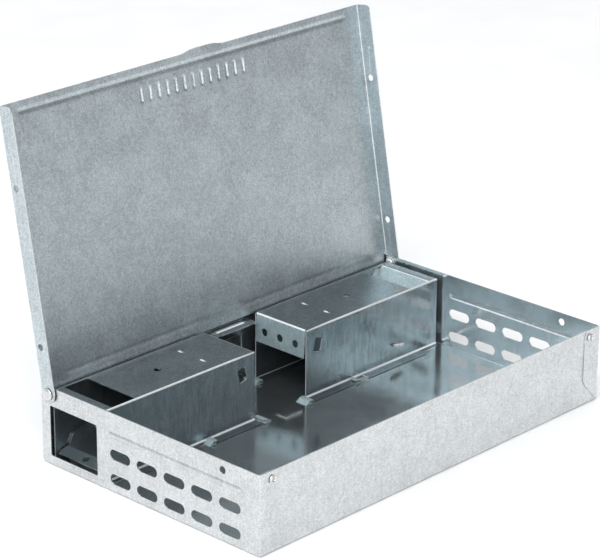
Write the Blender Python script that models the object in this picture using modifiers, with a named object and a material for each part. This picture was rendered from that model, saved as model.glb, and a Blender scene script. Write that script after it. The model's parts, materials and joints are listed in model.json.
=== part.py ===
"""Low galvanised multi-catch mouse trap with a riveted lid and two see-saw entry ramps.

Frame: metres, +Z up, origin at the centre of the base's underside. +X runs along the
long side and +Y points to the rear wall, where the lid is hinged. The lid stands open,
leaning on the rear wall; both ramps rest with their entrance ends down.
"""
import math

import bmesh
import bpy
from mathutils import Matrix, Vector

MM = 0.001

# Box and sheet
LENGTH = 266.7 * MM
WIDTH = 160.0 * MM
HEIGHT = 44.5 * MM
SHEET = 0.6 * MM
GAP = 0.3 * MM
BEND = 1.2 * MM
LEFT = -LENGTH / 2
FRONT = -WIDTH / 2
REAR = WIDTH / 2
THROUGH = 20 * MM

# Side walls
SLOT_LONG = 15.0 * MM
SLOT_HIGH = 5.8 * MM
SLOT_FIRST = FRONT + 20.7 * MM
SLOT_PITCH = 19.75 * MM
SLOT_COUNT = 5
SLOT_ROWS = (7.6 * MM, 21.5 * MM)
DOOR_FRONT = FRONT + 117.0 * MM
DOOR_REAR = FRONT + 152.9 * MM
DOOR_SILL = 5.5 * MM
DOOR_HEAD = 34.0 * MM
WALL_BEAD_Z = 32.2 * MM
WALL_BEAD_FRONT = FRONT + 12.8 * MM
WALL_BEAD_REAR = FRONT + 107.2 * MM
BEAD_RADIUS = 2.4 * MM
BEAD_RISE = 0.6 * MM

# Corner tabs, folded round from the side walls and riveted
TAB_WIDE = 12.9 * MM
TAB_LOW = 11.0 * MM
RIVET_IN = 8.6 * MM
RIVET_Z = 40.0 * MM

# Tabs raised from the floor over the tunnel covers' feet, and the clip between them
CATCH_INNER = LEFT + 116.2 * MM
CATCH_OUTER = LEFT + 76.1 * MM
CATCH_ROOT = 3.4 * MM
CATCH_TIP = 2.2 * MM
CATCH_TOP = 2.7 * MM
CATCH_SHEET = 0.5 * MM
CLIP_HALF = 6.5 * MM
CLIP_FRONT = FRONT + 104.0 * MM
CLIP_BACK = FRONT + 113.0 * MM
CLIP_TOP = 2.2 * MM

# Lid hinge
PIVOT_Y = FRONT + 152.7 * MM
PIVOT_Z = 40.8 * MM
OPEN_ANGLE = math.radians(100.2)
LID_CLEAR = 0.7 * MM
LID_ABOVE = 4.2 * MM
FLANGE_END = 5.0 * MM
LID_REACH = 152.7 * MM
TONGUE_HALF = 131.6 * MM
FINGER_TAB = (-7.0 * MM, 26.5 * MM)
SNAP_REACH = 127.1 * MM
SNAP_DROP = 1.6 * MM

# Tunnel covers
TUNNEL_FRONT = FRONT + 114.6 * MM
TUNNEL_REAR = FRONT + 154.0 * MM
TUNNEL_MID = (TUNNEL_FRONT + TUNNEL_REAR) / 2
TUNNEL_OUTER = LEFT + 3.4 * MM
TUNNEL_INNER = LEFT + 113.0 * MM
TUNNEL_TOP = 41.5 * MM
FOOT_WIDE = 6.0 * MM
FOOT_BREAK = (LEFT + 68.0 * MM, LEFT + 77.5 * MM)
FOOT_START = LEFT + 18.0 * MM
LIP_LOW = 25.0 * MM
LIP_TILT = math.radians(5)
WINDOW_OUTER = LEFT + 9.4 * MM
WINDOW_INNER = LEFT + 26.2 * MM
FLAP_LONG = 15.4 * MM

# Ramps
RAMP_SHEET = 0.4 * MM
RAMP_AXIS_X = LEFT + 33.0 * MM
RAMP_AXIS_Z = 9.9 * MM
RAMP_HALF = 18.2 * MM
RAMP_SLOPE = 0.182
DECK_KINK = (-22.1 * MM, -2.2 * MM)
DECK_ENTRY = (-28.6 * MM, -4.6 * MM)
DECK_INNER = (78.0 * MM, DECK_KINK[1] + RAMP_SLOPE * 100.1 * MM)
WIRE_RADIUS = 1.0 * MM

X = Vector((1, 0, 0))
Y = Vector((0, 1, 0))
Z = Vector((0, 0, 1))


def start_empty():
    """Remove the scene's objects and return the collections for parts and cutters."""
    for obj in list(bpy.data.objects):
        bpy.data.objects.remove(obj, do_unlink=True)
    groups = []
    for name in ("multi_catch_mouse_trap", "cutters"):
        group = bpy.data.collections.new(name)
        bpy.context.scene.collection.children.link(group)
        groups.append(group)
    return groups


PARTS, CUTTERS = start_empty()


def metal(name, colour, roughness, metallic=1.0):
    """A plain metal finish."""
    finish = bpy.data.materials.new(name)
    finish.use_nodes = True
    shader = finish.node_tree.nodes["Principled BSDF"]
    shader.inputs["Base Color"].default_value = (*colour, 1.0)
    shader.inputs["Roughness"].default_value = roughness
    shader.inputs["Metallic"].default_value = metallic
    return finish


# ---------------------------------------------------------------- shape helpers

def add(name, mesh, finish=None):
    """Link a mesh as a part when it has a finish, or else as a cutter."""
    obj = bpy.data.objects.new(name, mesh)
    if finish is None:
        CUTTERS.objects.link(obj)
        obj.hide_render = True
        obj.display_type = "WIRE"
    else:
        PARTS.objects.link(obj)
        mesh.materials.append(finish)
    return obj


def evaluated_mesh(obj):
    """The object's mesh with its modifiers, welded, in its own frame."""
    bpy.context.view_layer.update()
    graph = bpy.context.evaluated_depsgraph_get()
    mesh = bpy.data.meshes.new_from_object(obj.evaluated_get(graph))
    work = bmesh.new()
    work.from_mesh(mesh)
    bmesh.ops.remove_doubles(work, verts=work.verts, dist=0.00001)
    work.to_mesh(mesh)
    work.free()
    return mesh


def plane(origin, u, v):
    """The matrix that lays an outline's own X and Y along u and v at origin."""
    w = u.cross(v)
    turn = Matrix((u, v, w)).transposed().to_4x4()
    return Matrix.Translation(origin) @ turn


def stand(centre, axis):
    """The matrix that stands a piece made along Z at centre, along axis."""
    return Matrix.Translation(centre) @ Z.rotation_difference(axis).to_matrix().to_4x4()


def outline_mesh(outlines, thickness):
    """A flat plate from closed outlines, the first outside and the others holes."""
    curve = bpy.data.curves.new("outline", "CURVE")
    curve.dimensions = "2D"
    curve.fill_mode = "BOTH"
    curve.extrude = thickness / 2
    for outline in outlines:
        spline = curve.splines.new("POLY")
        spline.points.add(len(outline) - 1)
        for point, (u, v) in zip(spline.points, outline):
            point.co = (u, v, 0, 1)
        spline.use_cyclic_u = True
    holder = bpy.data.objects.new("outline", curve)
    bpy.context.scene.collection.objects.link(holder)
    mesh = evaluated_mesh(holder)
    bpy.data.objects.remove(holder)
    bpy.data.curves.remove(curve)
    return mesh


def plate(name, outlines, thickness, origin, u, v, finish=None):
    """A plate whose middle plane passes through origin, along u and v."""
    obj = add(name, outline_mesh(outlines, thickness), finish)
    obj.matrix_world = plane(origin, u, v)
    return obj


def box(name, low, high):
    """A cuboid between two corners."""
    low = Vector(low)
    high = Vector(high)
    work = bmesh.new()
    bmesh.ops.create_cube(work, size=1.0)
    bmesh.ops.scale(work, verts=work.verts, vec=high - low)
    mesh = bpy.data.meshes.new(name)
    work.to_mesh(mesh)
    work.free()
    obj = add(name, mesh)
    obj.location = (low + high) / 2
    return obj


def rod(name, radius, length, centre, axis, sides=24):
    """A round bar of the given length along an axis."""
    work = bmesh.new()
    bmesh.ops.create_cone(work, cap_ends=True, segments=sides, radius1=radius,
                          radius2=radius, depth=length)
    mesh = bpy.data.meshes.new(name)
    work.to_mesh(mesh)
    work.free()
    obj = add(name, mesh)
    obj.matrix_world = stand(centre, axis)
    return obj


def capsule(name, radius, length, centre, axis, above=None):
    """A round-ended bar along an axis; above keeps only what lies past (point, normal)."""
    profile = arc(0, length / 2, radius, 90, 0, 5) + arc(0, -length / 2, radius, 0, -90, 5)
    work = bmesh.new()
    verts = [work.verts.new((u, 0, v)) for u, v in profile]
    edges = [work.edges.new(pair) for pair in zip(verts, verts[1:])]
    bmesh.ops.spin(work, geom=verts + edges, cent=(0, 0, 0), axis=Z, angle=math.tau, steps=20,
                   use_merge=True)
    bmesh.ops.remove_doubles(work, verts=work.verts, dist=0.000001)
    bmesh.ops.transform(work, matrix=stand(centre, axis), verts=work.verts)
    if above is not None:
        point, normal = above
        bmesh.ops.bisect_plane(work, geom=work.verts[:] + work.edges[:] + work.faces[:],
                               plane_co=point, plane_no=normal, clear_inner=True, dist=1e-7)
        rim = [edge for edge in work.edges if edge.is_boundary]
        bmesh.ops.contextual_create(work, geom=rim)
    bmesh.ops.recalc_face_normals(work, faces=work.faces)
    mesh = bpy.data.meshes.new(name)
    work.to_mesh(mesh)
    work.free()
    return add(name, mesh)


def folded(name, profile, start, end, sheet, bend, finish):
    """A sheet bent along a profile of (u, v) points in the YZ plane, run along X.

    The profile goes round the outside of the bends, and the sheet lies inside it.
    """
    work = bmesh.new()
    verts = [work.verts.new((start, u, v)) for u, v in profile]
    edges = [work.edges.new(pair) for pair in zip(verts, verts[1:])]
    swept = bmesh.ops.extrude_edge_only(work, edges=edges)
    moved = [item for item in swept["geom"] if isinstance(item, bmesh.types.BMVert)]
    bmesh.ops.translate(work, verts=moved, vec=X * (end - start))
    mesh = bpy.data.meshes.new(name)
    work.to_mesh(mesh)
    work.free()
    obj = add(name, mesh, finish)
    round_bends(obj, bend)
    thicken(obj, sheet)
    return obj


def round_bends(obj, radius):
    """Round every fold of a sheet surface."""
    bevel = obj.modifiers.new("bends", "BEVEL")
    bevel.width = radius
    bevel.segments = 3
    bevel.limit_method = "ANGLE"
    bevel.angle_limit = math.radians(40)


def thicken(obj, sheet):
    """Give a surface its sheet thickness on the inner side."""
    solid = obj.modifiers.new("sheet", "SOLIDIFY")
    solid.thickness = sheet
    solid.offset = -1.0
    solid.use_even_offset = True


def combine(target, operands, operation):
    """Unite, cut or intersect a part with each operand in turn."""
    for operand in operands:
        modifier = target.modifiers.new(operand.name, "BOOLEAN")
        modifier.operation = operation
        modifier.solver = "EXACT"
        modifier.object = operand


def rectangle(u0, v0, u1, v1, radius=0.0, steps=4):
    """A rectangle's outline, with round corners when radius is given."""
    if radius <= 0:
        return [(u0, v0), (u1, v0), (u1, v1), (u0, v1)]
    points = []
    corners = ((u1 - radius, v0 + radius, -90), (u1 - radius, v1 - radius, 0),
               (u0 + radius, v1 - radius, 90), (u0 + radius, v0 + radius, 180))
    for cu, cv, start in corners:
        points += arc(cu, cv, radius, start, start + 90, steps)
    return points


def arc(cu, cv, radius, start, end, steps):
    """Points on an arc, angles in degrees."""
    angles = [math.radians(start + (end - start) * i / steps) for i in range(steps + 1)]
    return [(cu + radius * math.cos(a), cv + radius * math.sin(a)) for a in angles]


def circle(cu, cv, radius, sides=20):
    """A round hole's outline."""
    return arc(cu, cv, radius, 0, 360 * (sides - 1) / sides, sides - 1)


def mirror_copy(obj, name):
    """The finished part again, mirrored to the other side of the X = 0 plane."""
    mesh = evaluated_mesh(obj)
    mesh.transform(Matrix.Scale(-1, 4, X))
    mesh.flip_normals()
    mesh.materials.clear()
    twin = add(name, mesh, obj.data.materials[0])
    twin.location = (-obj.location.x, obj.location.y, obj.location.z)
    return twin


def smooth_rounds(obj):
    """Shade round faces smooth and keep the folds sharp."""
    obj.data.shade_smooth()
    obj.data.set_sharp_from_angle(angle=math.radians(35))


# ---------------------------------------------------------------- base pan

def wall_cutters():
    """Everything punched through both side walls."""
    cutters = []
    for row, slot_z in enumerate(SLOT_ROWS):
        for column in range(SLOT_COUNT):
            slot_y = SLOT_FIRST + column * SLOT_PITCH
            outline = rectangle(slot_y - SLOT_LONG / 2, slot_z - SLOT_HIGH / 2,
                                slot_y + SLOT_LONG / 2, slot_z + SLOT_HIGH / 2,
                                SLOT_HIGH / 2 - 0.01 * MM, 5)
            cutters.append(plate(f"slot_{row}_{column}", [outline], LENGTH + THROUGH,
                                 Vector((0, 0, 0)), Y, Z))
    door = rectangle(DOOR_FRONT, DOOR_SILL, DOOR_REAR, DOOR_HEAD, 0.8 * MM, 2)
    cutters.append(plate("doors", [door], LENGTH + THROUGH, Vector((0, 0, 0)), Y, Z))
    pivot = Vector((0, PIVOT_Y, PIVOT_Z))
    cutters.append(rod("hinge_holes", 1.9 * MM, LENGTH + THROUGH, pivot, X))
    snap = Vector((0, PIVOT_Y - SNAP_REACH, PIVOT_Z - SNAP_DROP))
    cutters.append(rod("snap_holes", 2.1 * MM, LENGTH + THROUGH, snap, X))
    return cutters


def wall_beads():
    """Stiffening beads pressed outwards in the side walls: ridges and their grooves."""
    ridges = []
    grooves = []
    length = WALL_BEAD_REAR - WALL_BEAD_FRONT - 2 * BEAD_RADIUS
    middle_y = (WALL_BEAD_REAR + WALL_BEAD_FRONT) / 2
    for side in (-1, 1):
        face = side * LENGTH / 2
        centre = Vector((face - side * (BEAD_RADIUS - BEAD_RISE), middle_y, WALL_BEAD_Z))
        inside = Vector((face - side * SHEET / 2, 0, 0))
        ridges.append(capsule(f"wall_ridge_{side}", BEAD_RADIUS, length, centre, Y,
                              (inside, X * side)))
        grooves.append(capsule(f"wall_groove_{side}", BEAD_RADIUS - SHEET, length, centre, Y))
    return ridges, grooves


def corner_tabs():
    """The side walls' end tabs: outside at the front right corner, inside elsewhere."""
    tabs = []
    for side in (-1, 1):
        inner = side * (LENGTH / 2 - SHEET / 2)
        free = side * (LENGTH / 2 - TAB_WIDE)
        for end in (-1, 1):
            outside = side > 0 and end < 0
            depth = WIDTH / 2 + SHEET / 2 if outside else WIDTH / 2 - 1.5 * SHEET
            root = side * LENGTH / 2 if outside else inner
            outline = [(root, 1.0 * MM if outside else TAB_LOW), (root, HEIGHT),
                       (free + side * 1.5 * MM, HEIGHT), (free, HEIGHT - 4 * MM),
                       (free, TAB_LOW + 4 * MM), (free + side * 2.5 * MM, TAB_LOW)]
            overlap = SHEET + 0.04 * MM
            tabs.append(plate(f"tab_{side}_{end}", [outline], overlap,
                              Vector((0, end * depth, 0)), X, Z))
    return tabs


def floor_catches():
    """Tabs raised from the floor over the ends of the tunnel covers' feet.

    A tab's root is on its inner side (facing 1) or its outer side (facing -1).
    """
    catches = []
    windows = []
    section = [(CATCH_ROOT, SHEET / 2), (CATCH_ROOT, SHEET), (0.4 * MM, CATCH_TOP),
               (-CATCH_TIP, CATCH_TOP), (-CATCH_TIP, CATCH_TOP - CATCH_SHEET),
               (0.2 * MM, CATCH_TOP - CATCH_SHEET), (CATCH_ROOT - 0.6 * MM, SHEET / 2)]
    window_ends = (0.2 * MM - CATCH_TIP, CATCH_ROOT - 0.8 * MM)
    places = ((CATCH_INNER, 1, TUNNEL_FRONT - 2.6 * MM, 7.6 * MM),
              (CATCH_INNER, 1, TUNNEL_REAR - 4.2 * MM, 5.0 * MM),
              (CATCH_OUTER, -1, TUNNEL_FRONT - 3.8 * MM, 5.0 * MM))
    for side in (-1, 1):
        for index, (x_mid, facing, y_mid, wide) in enumerate(places):
            outline = [(-side * (x_mid + facing * u), v) for u, v in section]
            catches.append(plate(f"catch_{side}_{index}", [outline], wide,
                                 Vector((0, y_mid, 0)), X, Z))
            ends = sorted(-side * (x_mid + facing * u) for u in window_ends)
            half = wide / 2 + 0.2 * MM
            windows.append(box(f"catch_window_{side}_{index}", (ends[0], y_mid - half, -SHEET),
                               (ends[1], y_mid + half, 2 * SHEET)))
    return catches, windows


def floor_clip():
    """A flat tongue raised from the middle of the floor, open to the front."""
    low = CLIP_TOP - SHEET
    section = [(CLIP_BACK, SHEET / 2), (CLIP_BACK, SHEET), (CLIP_BACK - 2.4 * MM, CLIP_TOP),
               (CLIP_FRONT, CLIP_TOP), (CLIP_FRONT, low), (CLIP_BACK - 2.2 * MM, low),
               (CLIP_BACK - 0.6 * MM, SHEET / 2)]
    tongue = plate("clip_tongue", [section], 2 * CLIP_HALF, Vector((0, 0, 0)), Y, Z)
    window = box("clip_window", (-CLIP_HALF - GAP, CLIP_FRONT - GAP, -SHEET),
                 (CLIP_HALF + GAP, CLIP_BACK - 0.9 * MM, 2 * SHEET))
    return tongue, window


def make_base(finish):
    """The pan: floor and four walls folded from one blank."""
    work = bmesh.new()
    bmesh.ops.create_cube(work, size=1.0)
    bmesh.ops.scale(work, verts=work.verts, vec=(LENGTH, WIDTH, HEIGHT))
    bmesh.ops.translate(work, verts=work.verts, vec=Z * HEIGHT / 2)
    top = [face for face in work.faces if face.normal.z > 0.5]
    bmesh.ops.delete(work, geom=top, context="FACES_ONLY")
    mesh = bpy.data.meshes.new("base_pan")
    work.to_mesh(mesh)
    work.free()
    base = add("base_pan", mesh, finish)
    round_bends(base, BEND)
    thicken(base, SHEET)
    ridges, grooves = wall_beads()
    catches, windows = floor_catches()
    tongue, clip_window = floor_clip()
    hem = box("rear_hem", (LEFT + 14 * MM, REAR - 1.5 * MM, HEIGHT - 4 * MM),
              (-LEFT - 14 * MM, REAR - SHEET / 2, HEIGHT))
    combine(base, corner_tabs() + [hem] + ridges, "UNION")
    combine(base, grooves + wall_cutters() + windows + [clip_window], "DIFFERENCE")
    combine(base, catches + [tongue], "UNION")
    holes = []
    for side in (-1, 1):
        spot = Vector((side * (LENGTH / 2 - RIVET_IN), 0, RIVET_Z))
        holes.append(rod(f"corner_hole_{side}", 1.6 * MM, WIDTH + THROUGH, spot, Y, 16))
    combine(base, holes, "DIFFERENCE")
    return base


# ---------------------------------------------------------------- fasteners

def turned(name, profile, centre, axis, finish, sides=24):
    """A turned piece from (radius, height) points that run from the top down."""
    mesh = bpy.data.meshes.new(name)
    work = bmesh.new()
    verts = [work.verts.new((radius, 0, height)) for radius, height in profile]
    for pair in zip(verts, verts[1:]):
        work.edges.new(pair)
    work.to_mesh(mesh)
    work.free()
    obj = add(name, mesh, finish)
    screw = obj.modifiers.new("turn", "SCREW")
    screw.steps = sides
    screw.render_steps = sides
    screw.use_merge_vertices = True
    screw.merge_threshold = 0.00001
    obj.matrix_world = stand(centre, axis)
    return obj


def dome(radius, rise, base_height, steps=4):
    """A shallow rivet head from its crown down to its rim."""
    return [(radius * math.sin(math.radians(90 * i / steps)),
             base_height + rise * math.cos(math.radians(90 * i / steps)))
            for i in range(steps + 1)]


def make_hinge_rivet(finish):
    """The left rivet that the lid turns on: head outside, rolled end inside."""
    wall_inside = -(LID_CLEAR + 2 * SHEET + GAP)
    tail_end = wall_inside - 0.6 * MM - 2 * GAP
    profile = dome(3.4 * MM, 1.1 * MM, 0.25 * MM)
    profile += [(3.4 * MM, 0.0), (1.6 * MM, 0.0), (1.6 * MM, tail_end),
                (2.5 * MM, tail_end - 0.1 * MM), (2.5 * MM, tail_end - 0.6 * MM),
                (1.6 * MM, tail_end - 1.1 * MM), (0.0, tail_end - 1.1 * MM)]
    head_face = LEFT - LID_CLEAR - SHEET - GAP
    centre = Vector((head_face, PIVOT_Y, PIVOT_Z))
    return turned("left_hinge_rivet", profile, centre, -X, finish)


def make_hinge_washer(finish):
    """The flat washer under the left rivet's rolled end, against the wall's inside."""
    outer = [(3.3 * MM, 0.6 * MM), (3.3 * MM, 0.0), (1.9 * MM, 0.0), (1.9 * MM, 0.6 * MM),
             (3.3 * MM, 0.6 * MM)]
    centre = Vector((LEFT + SHEET + GAP, PIVOT_Y, PIVOT_Z))
    return turned("left_hinge_washer", outer, centre, X, finish)


def make_corner_rivets(finish):
    """The four small rivets that hold the corner tabs."""
    profile = dome(2.3 * MM, 0.8 * MM, 0.1 * MM, 3)
    shank = 2 * SHEET + 2 * GAP
    profile += [(2.3 * MM, 0.0), (1.3 * MM, 0.0), (1.3 * MM, -shank),
                (2.1 * MM, -shank), (2.1 * MM, -shank - 0.6 * MM), (0.0, -shank - 0.7 * MM)]
    for side, side_name in ((-1, "left"), (1, "right")):
        for end, end_name in ((-1, "front"), (1, "rear")):
            proud = SHEET if side > 0 and end < 0 else 0.0
            centre = Vector((side * (LENGTH / 2 - RIVET_IN), end * (WIDTH / 2 + proud + GAP), RIVET_Z))
            turned(f"{end_name}_{side_name}_corner_rivet", profile, centre, Y * end, finish, 16)


# ---------------------------------------------------------------- lid

def lid_outline():
    """The closed lid seen from the side: straight top, round rear ends, front corner."""
    top = LID_ABOVE + SHEET
    low = -FLANGE_END
    points = [(-LID_REACH, top), (-LID_REACH, LID_ABOVE - 0.5 * MM)]
    points += [(-LID_REACH + 1.2 * MM, low + 2.5 * MM), (-LID_REACH + 3.0 * MM, low)]
    points += arc(0, 0, FLANGE_END, -90, 73.74, 14)
    return points


def lid_beads():
    """Two long beads across the lid, raised on its outer face."""
    ridges = []
    grooves = []
    for reach, half in ((147.3 * MM, 122.6 * MM), (6.2 * MM, 116.4 * MM)):
        centre = Vector((0, -reach, LID_ABOVE + SHEET - BEAD_RADIUS + BEAD_RISE))
        length = 2 * half - 2 * BEAD_RADIUS
        middle = Vector((0, 0, LID_ABOVE + SHEET / 2))
        ridges.append(capsule(f"lid_ridge_{round(reach / MM)}", BEAD_RADIUS, length, centre, X,
                              (middle, Z)))
        grooves.append(capsule(f"lid_groove_{round(reach / MM)}", BEAD_RADIUS - SHEET, length,
                               centre, X))
    return ridges, grooves


def snap_pips():
    """Small pips pressed inwards in the flanges, which click into the side walls' holes."""
    pips = []
    hollows = []
    radius = 2.2 * MM
    for side in (-1, 1):
        inner = LENGTH / 2 + LID_CLEAR
        centre = Vector((side * (inner - 0.5 * MM + radius), -SNAP_REACH, -SNAP_DROP))
        middle = Vector((side * (inner + SHEET / 2), 0, 0))
        pips.append(capsule(f"pip_{side}", radius, 0, centre, Y, (middle, -X * side)))
        hollows.append(capsule(f"pip_hollow_{side}", radius - SHEET, 0, centre, Y))
    return pips, hollows


def make_lid(finish):
    """The lid, modelled closed about its hinge axis and then turned open."""
    half = LENGTH / 2 + LID_CLEAR + SHEET
    top = LID_ABOVE + SHEET
    profile = [(-half, -FLANGE_END - 1 * MM), (-half, top), (half, top), (half, -FLANGE_END - 1 * MM)]
    lid = folded("lid", profile, -FLANGE_END - 1 * MM, LID_REACH, SHEET, 0.9 * MM, finish)
    lid.data.transform(Matrix.Rotation(math.radians(-90), 4, Z))
    side_view = plate("lid_side_view", [lid_outline()], LENGTH + THROUGH, Vector((0, 0, 0)), Y, Z)
    inner = LENGTH / 2 + LID_CLEAR - 0.05 * MM
    cuts = [box("lid_rear_cut", (-inner, 0.3 * MM, 2 * MM), (inner, 8 * MM, 8 * MM))]
    for side in (-1, 1):
        edges = sorted((side * TONGUE_HALF, side * inner))
        cuts.append(box(f"lid_notch_{side}", (edges[0], -5.0 * MM, 2 * MM),
                        (edges[1], 8 * MM, 8 * MM)))
    combine(lid, [side_view], "INTERSECT")
    ridges, grooves = lid_beads()
    pips, hollows = snap_pips()
    tab = [(FINGER_TAB[0], -LID_REACH + 1 * MM), (FINGER_TAB[0], -LID_REACH),
           (FINGER_TAB[0] + 8 * MM, -LID_REACH - 1.5 * MM), (FINGER_TAB[1] - 8 * MM, -LID_REACH - 1.5 * MM),
           (FINGER_TAB[1], -LID_REACH), (FINGER_TAB[1], -LID_REACH + 1 * MM)]
    finger_tab = plate("finger_tab", [tab], SHEET, Vector((0, 0, LID_ABOVE + SHEET / 2)), X, Y)
    combine(lid, ridges + pips + [finger_tab], "UNION")
    holes = [rod("lid_hinge_hole", 1.9 * MM, LENGTH + THROUGH, Vector((0, 0, 0)), X)]
    for reach in (109.9 * MM, 25.4 * MM):
        spot = Vector((0, -reach, 0.2 * MM))
        holes.append(rod(f"lid_hole_{round(reach / MM)}", 1.9 * MM, LENGTH + THROUGH, spot, X))
    combine(lid, cuts + grooves + hollows + holes, "DIFFERENCE")
    place = Matrix.Translation((0, PIVOT_Y, PIVOT_Z)) @ Matrix.Rotation(-OPEN_ANGLE, 4, X)
    for obj in [lid, side_view, finger_tab] + cuts + ridges + grooves + pips + hollows + holes:
        obj.matrix_world = place @ obj.matrix_world
    return lid


# ---------------------------------------------------------------- tunnel covers

def tunnel_top_cuts():
    """The light window, the round hole and the ramp's pivot holes."""
    window = box("tunnel_window", (WINDOW_OUTER, TUNNEL_FRONT + 0.9 * MM, TUNNEL_TOP - 3 * MM),
                 (WINDOW_INNER, TUNNEL_REAR - 1.9 * MM, TUNNEL_TOP + 3 * MM))
    hole = rod("tunnel_hole", 2.0 * MM, 6 * MM, Vector((LEFT + 59.5 * MM, TUNNEL_MID, TUNNEL_TOP)), Z)
    pivot = Vector((RAMP_AXIS_X, TUNNEL_MID, RAMP_AXIS_Z))
    pivots = rod("tunnel_pivot_holes", WIRE_RADIUS + GAP, 60 * MM, pivot, Y, 16)
    return [window, hole, pivots]


def window_flap():
    """The window's cut-out sheet, bent down from its outer edge at 45 degrees."""
    reach = FLAP_LONG * math.sqrt(0.5)
    depth = SHEET * math.sqrt(0.5)
    root = WINDOW_OUTER + 0.15 * MM
    top = TUNNEL_TOP - 0.1 * MM
    section = [(root - 0.55 * MM, top), (root, top), (root + reach, top - reach),
               (root + reach - depth, top - reach - depth), (root - depth, top - depth),
               (root - 0.55 * MM, top - depth)]
    front = TUNNEL_FRONT + 1.2 * MM
    rear = TUNNEL_REAR - 2.2 * MM
    return plate("window_flap", [section], rear - front, Vector((0, (front + rear) / 2, 0)), X, Z)


def side_window():
    """The small slanted window near the front plate's inner end."""
    half_wide = 3.0 * MM
    half_high = 4.1 * MM
    slope = math.radians(14)
    u = Vector((math.cos(slope), 0, math.sin(slope)))
    v = Vector((-math.sin(slope), 0, math.cos(slope)))
    outline = rectangle(-half_wide, -half_high, half_wide, half_high, 0.6 * MM, 2)
    centre = Vector((LEFT + 103.8 * MM, TUNNEL_FRONT, 30.6 * MM))
    return plate("tunnel_side_window", [outline], 6 * MM, centre, u, v)


def make_tunnel_cover(finish):
    """The left cover: front plate, top, rear plate and feet, with a holed inner lip."""
    seat = SHEET + GAP
    profile = [(TUNNEL_FRONT - FOOT_WIDE, seat + SHEET), (TUNNEL_FRONT, seat + SHEET),
               (TUNNEL_FRONT, TUNNEL_TOP),
               (TUNNEL_REAR, TUNNEL_TOP), (TUNNEL_REAR, seat),
               (TUNNEL_REAR - FOOT_WIDE, seat)]
    cover = folded("left_tunnel_cover", profile, TUNNEL_OUTER, TUNNEL_INNER, SHEET, 0.8 * MM, finish)
    foot_cuts = [box("rear_foot_cut", (LEFT, TUNNEL_REAR - FOOT_WIDE - 1 * MM, 0),
                     (LEFT + 58 * MM, TUNNEL_REAR - 0.95 * MM, 3 * MM))]
    for index, (start, end) in enumerate(((LEFT, FOOT_START), FOOT_BREAK)):
        foot_cuts.append(box(f"front_foot_cut_{index}", (start, TUNNEL_FRONT - FOOT_WIDE - 1 * MM, 0),
                             (end, TUNNEL_FRONT - 0.95 * MM, 3 * MM)))
    lip_half = (TUNNEL_REAR - TUNNEL_FRONT) / 2 - SHEET - 0.5 * MM
    lip_outline = rectangle(-lip_half, LIP_LOW - TUNNEL_TOP, lip_half, -0.1 * MM)
    holes = [circle(step * 11.7 * MM, -9.9 * MM, 2.3 * MM) for step in (-1, 0, 1)]
    lip = plate("tunnel_lip", [lip_outline] + holes, SHEET,
                Vector((TUNNEL_INNER - SHEET / 2 - 0.03 * MM, TUNNEL_MID, TUNNEL_TOP)), Y,
                Vector((-math.sin(LIP_TILT), 0, math.cos(LIP_TILT))))
    nibs = []
    for index, nib_y in enumerate((TUNNEL_MID - 8.5 * MM, TUNNEL_MID + 8.5 * MM)):
        centre = Vector((LEFT + 85 * MM, nib_y, TUNNEL_TOP - 0.2 * MM))
        nibs.append(capsule(f"tunnel_nib_{index}", 0.7 * MM, 5.4 * MM, centre, Y,
                            (Vector((0, 0, TUNNEL_TOP - 0.3 * MM)), Z)))
    skin = 0.04 * MM
    foot = box("foot_end", (TUNNEL_INNER - 0.2 * MM, TUNNEL_FRONT - FOOT_WIDE + skin, seat + skin),
               (TUNNEL_INNER + 1.8 * MM, TUNNEL_FRONT - 1 * MM, seat + SHEET - skin))
    combine(cover, [lip, foot] + nibs, "UNION")
    combine(cover, tunnel_top_cuts() + [side_window()] + foot_cuts, "DIFFERENCE")
    combine(cover, [window_flap()], "UNION")
    return cover


def make_rear_shelf(finish):
    """The angle on the rear wall between the tunnels, which closes the gap by the hinge."""
    top = 37.9 * MM
    back = REAR - SHEET - GAP
    half = 17.0 * MM
    profile = [(back - 10.2 * MM, top), (back, top), (back, top - 9 * MM)]
    shelf = folded("rear_shelf", profile, -half, half, SHEET, 0.9 * MM, finish)
    centre = Vector((0, back - 4.9 * MM, top - BEAD_RADIUS + BEAD_RISE))
    length = 2 * half - 10 * MM
    middle = Vector((0, 0, top - SHEET / 2))
    ridge = capsule("shelf_ridge", BEAD_RADIUS, length, centre, X, (middle, Z))
    groove = capsule("shelf_groove", BEAD_RADIUS - SHEET, length, centre, X)
    combine(shelf, [ridge], "UNION")
    combine(shelf, [groove], "DIFFERENCE")
    return shelf


# ---------------------------------------------------------------- ramps

def deck_height(u):
    """Height of the ramp's upper face above its pivot, u along the ramp from the pivot."""
    return DECK_KINK[1] + RAMP_SLOPE * (u - DECK_KINK[0])


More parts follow.
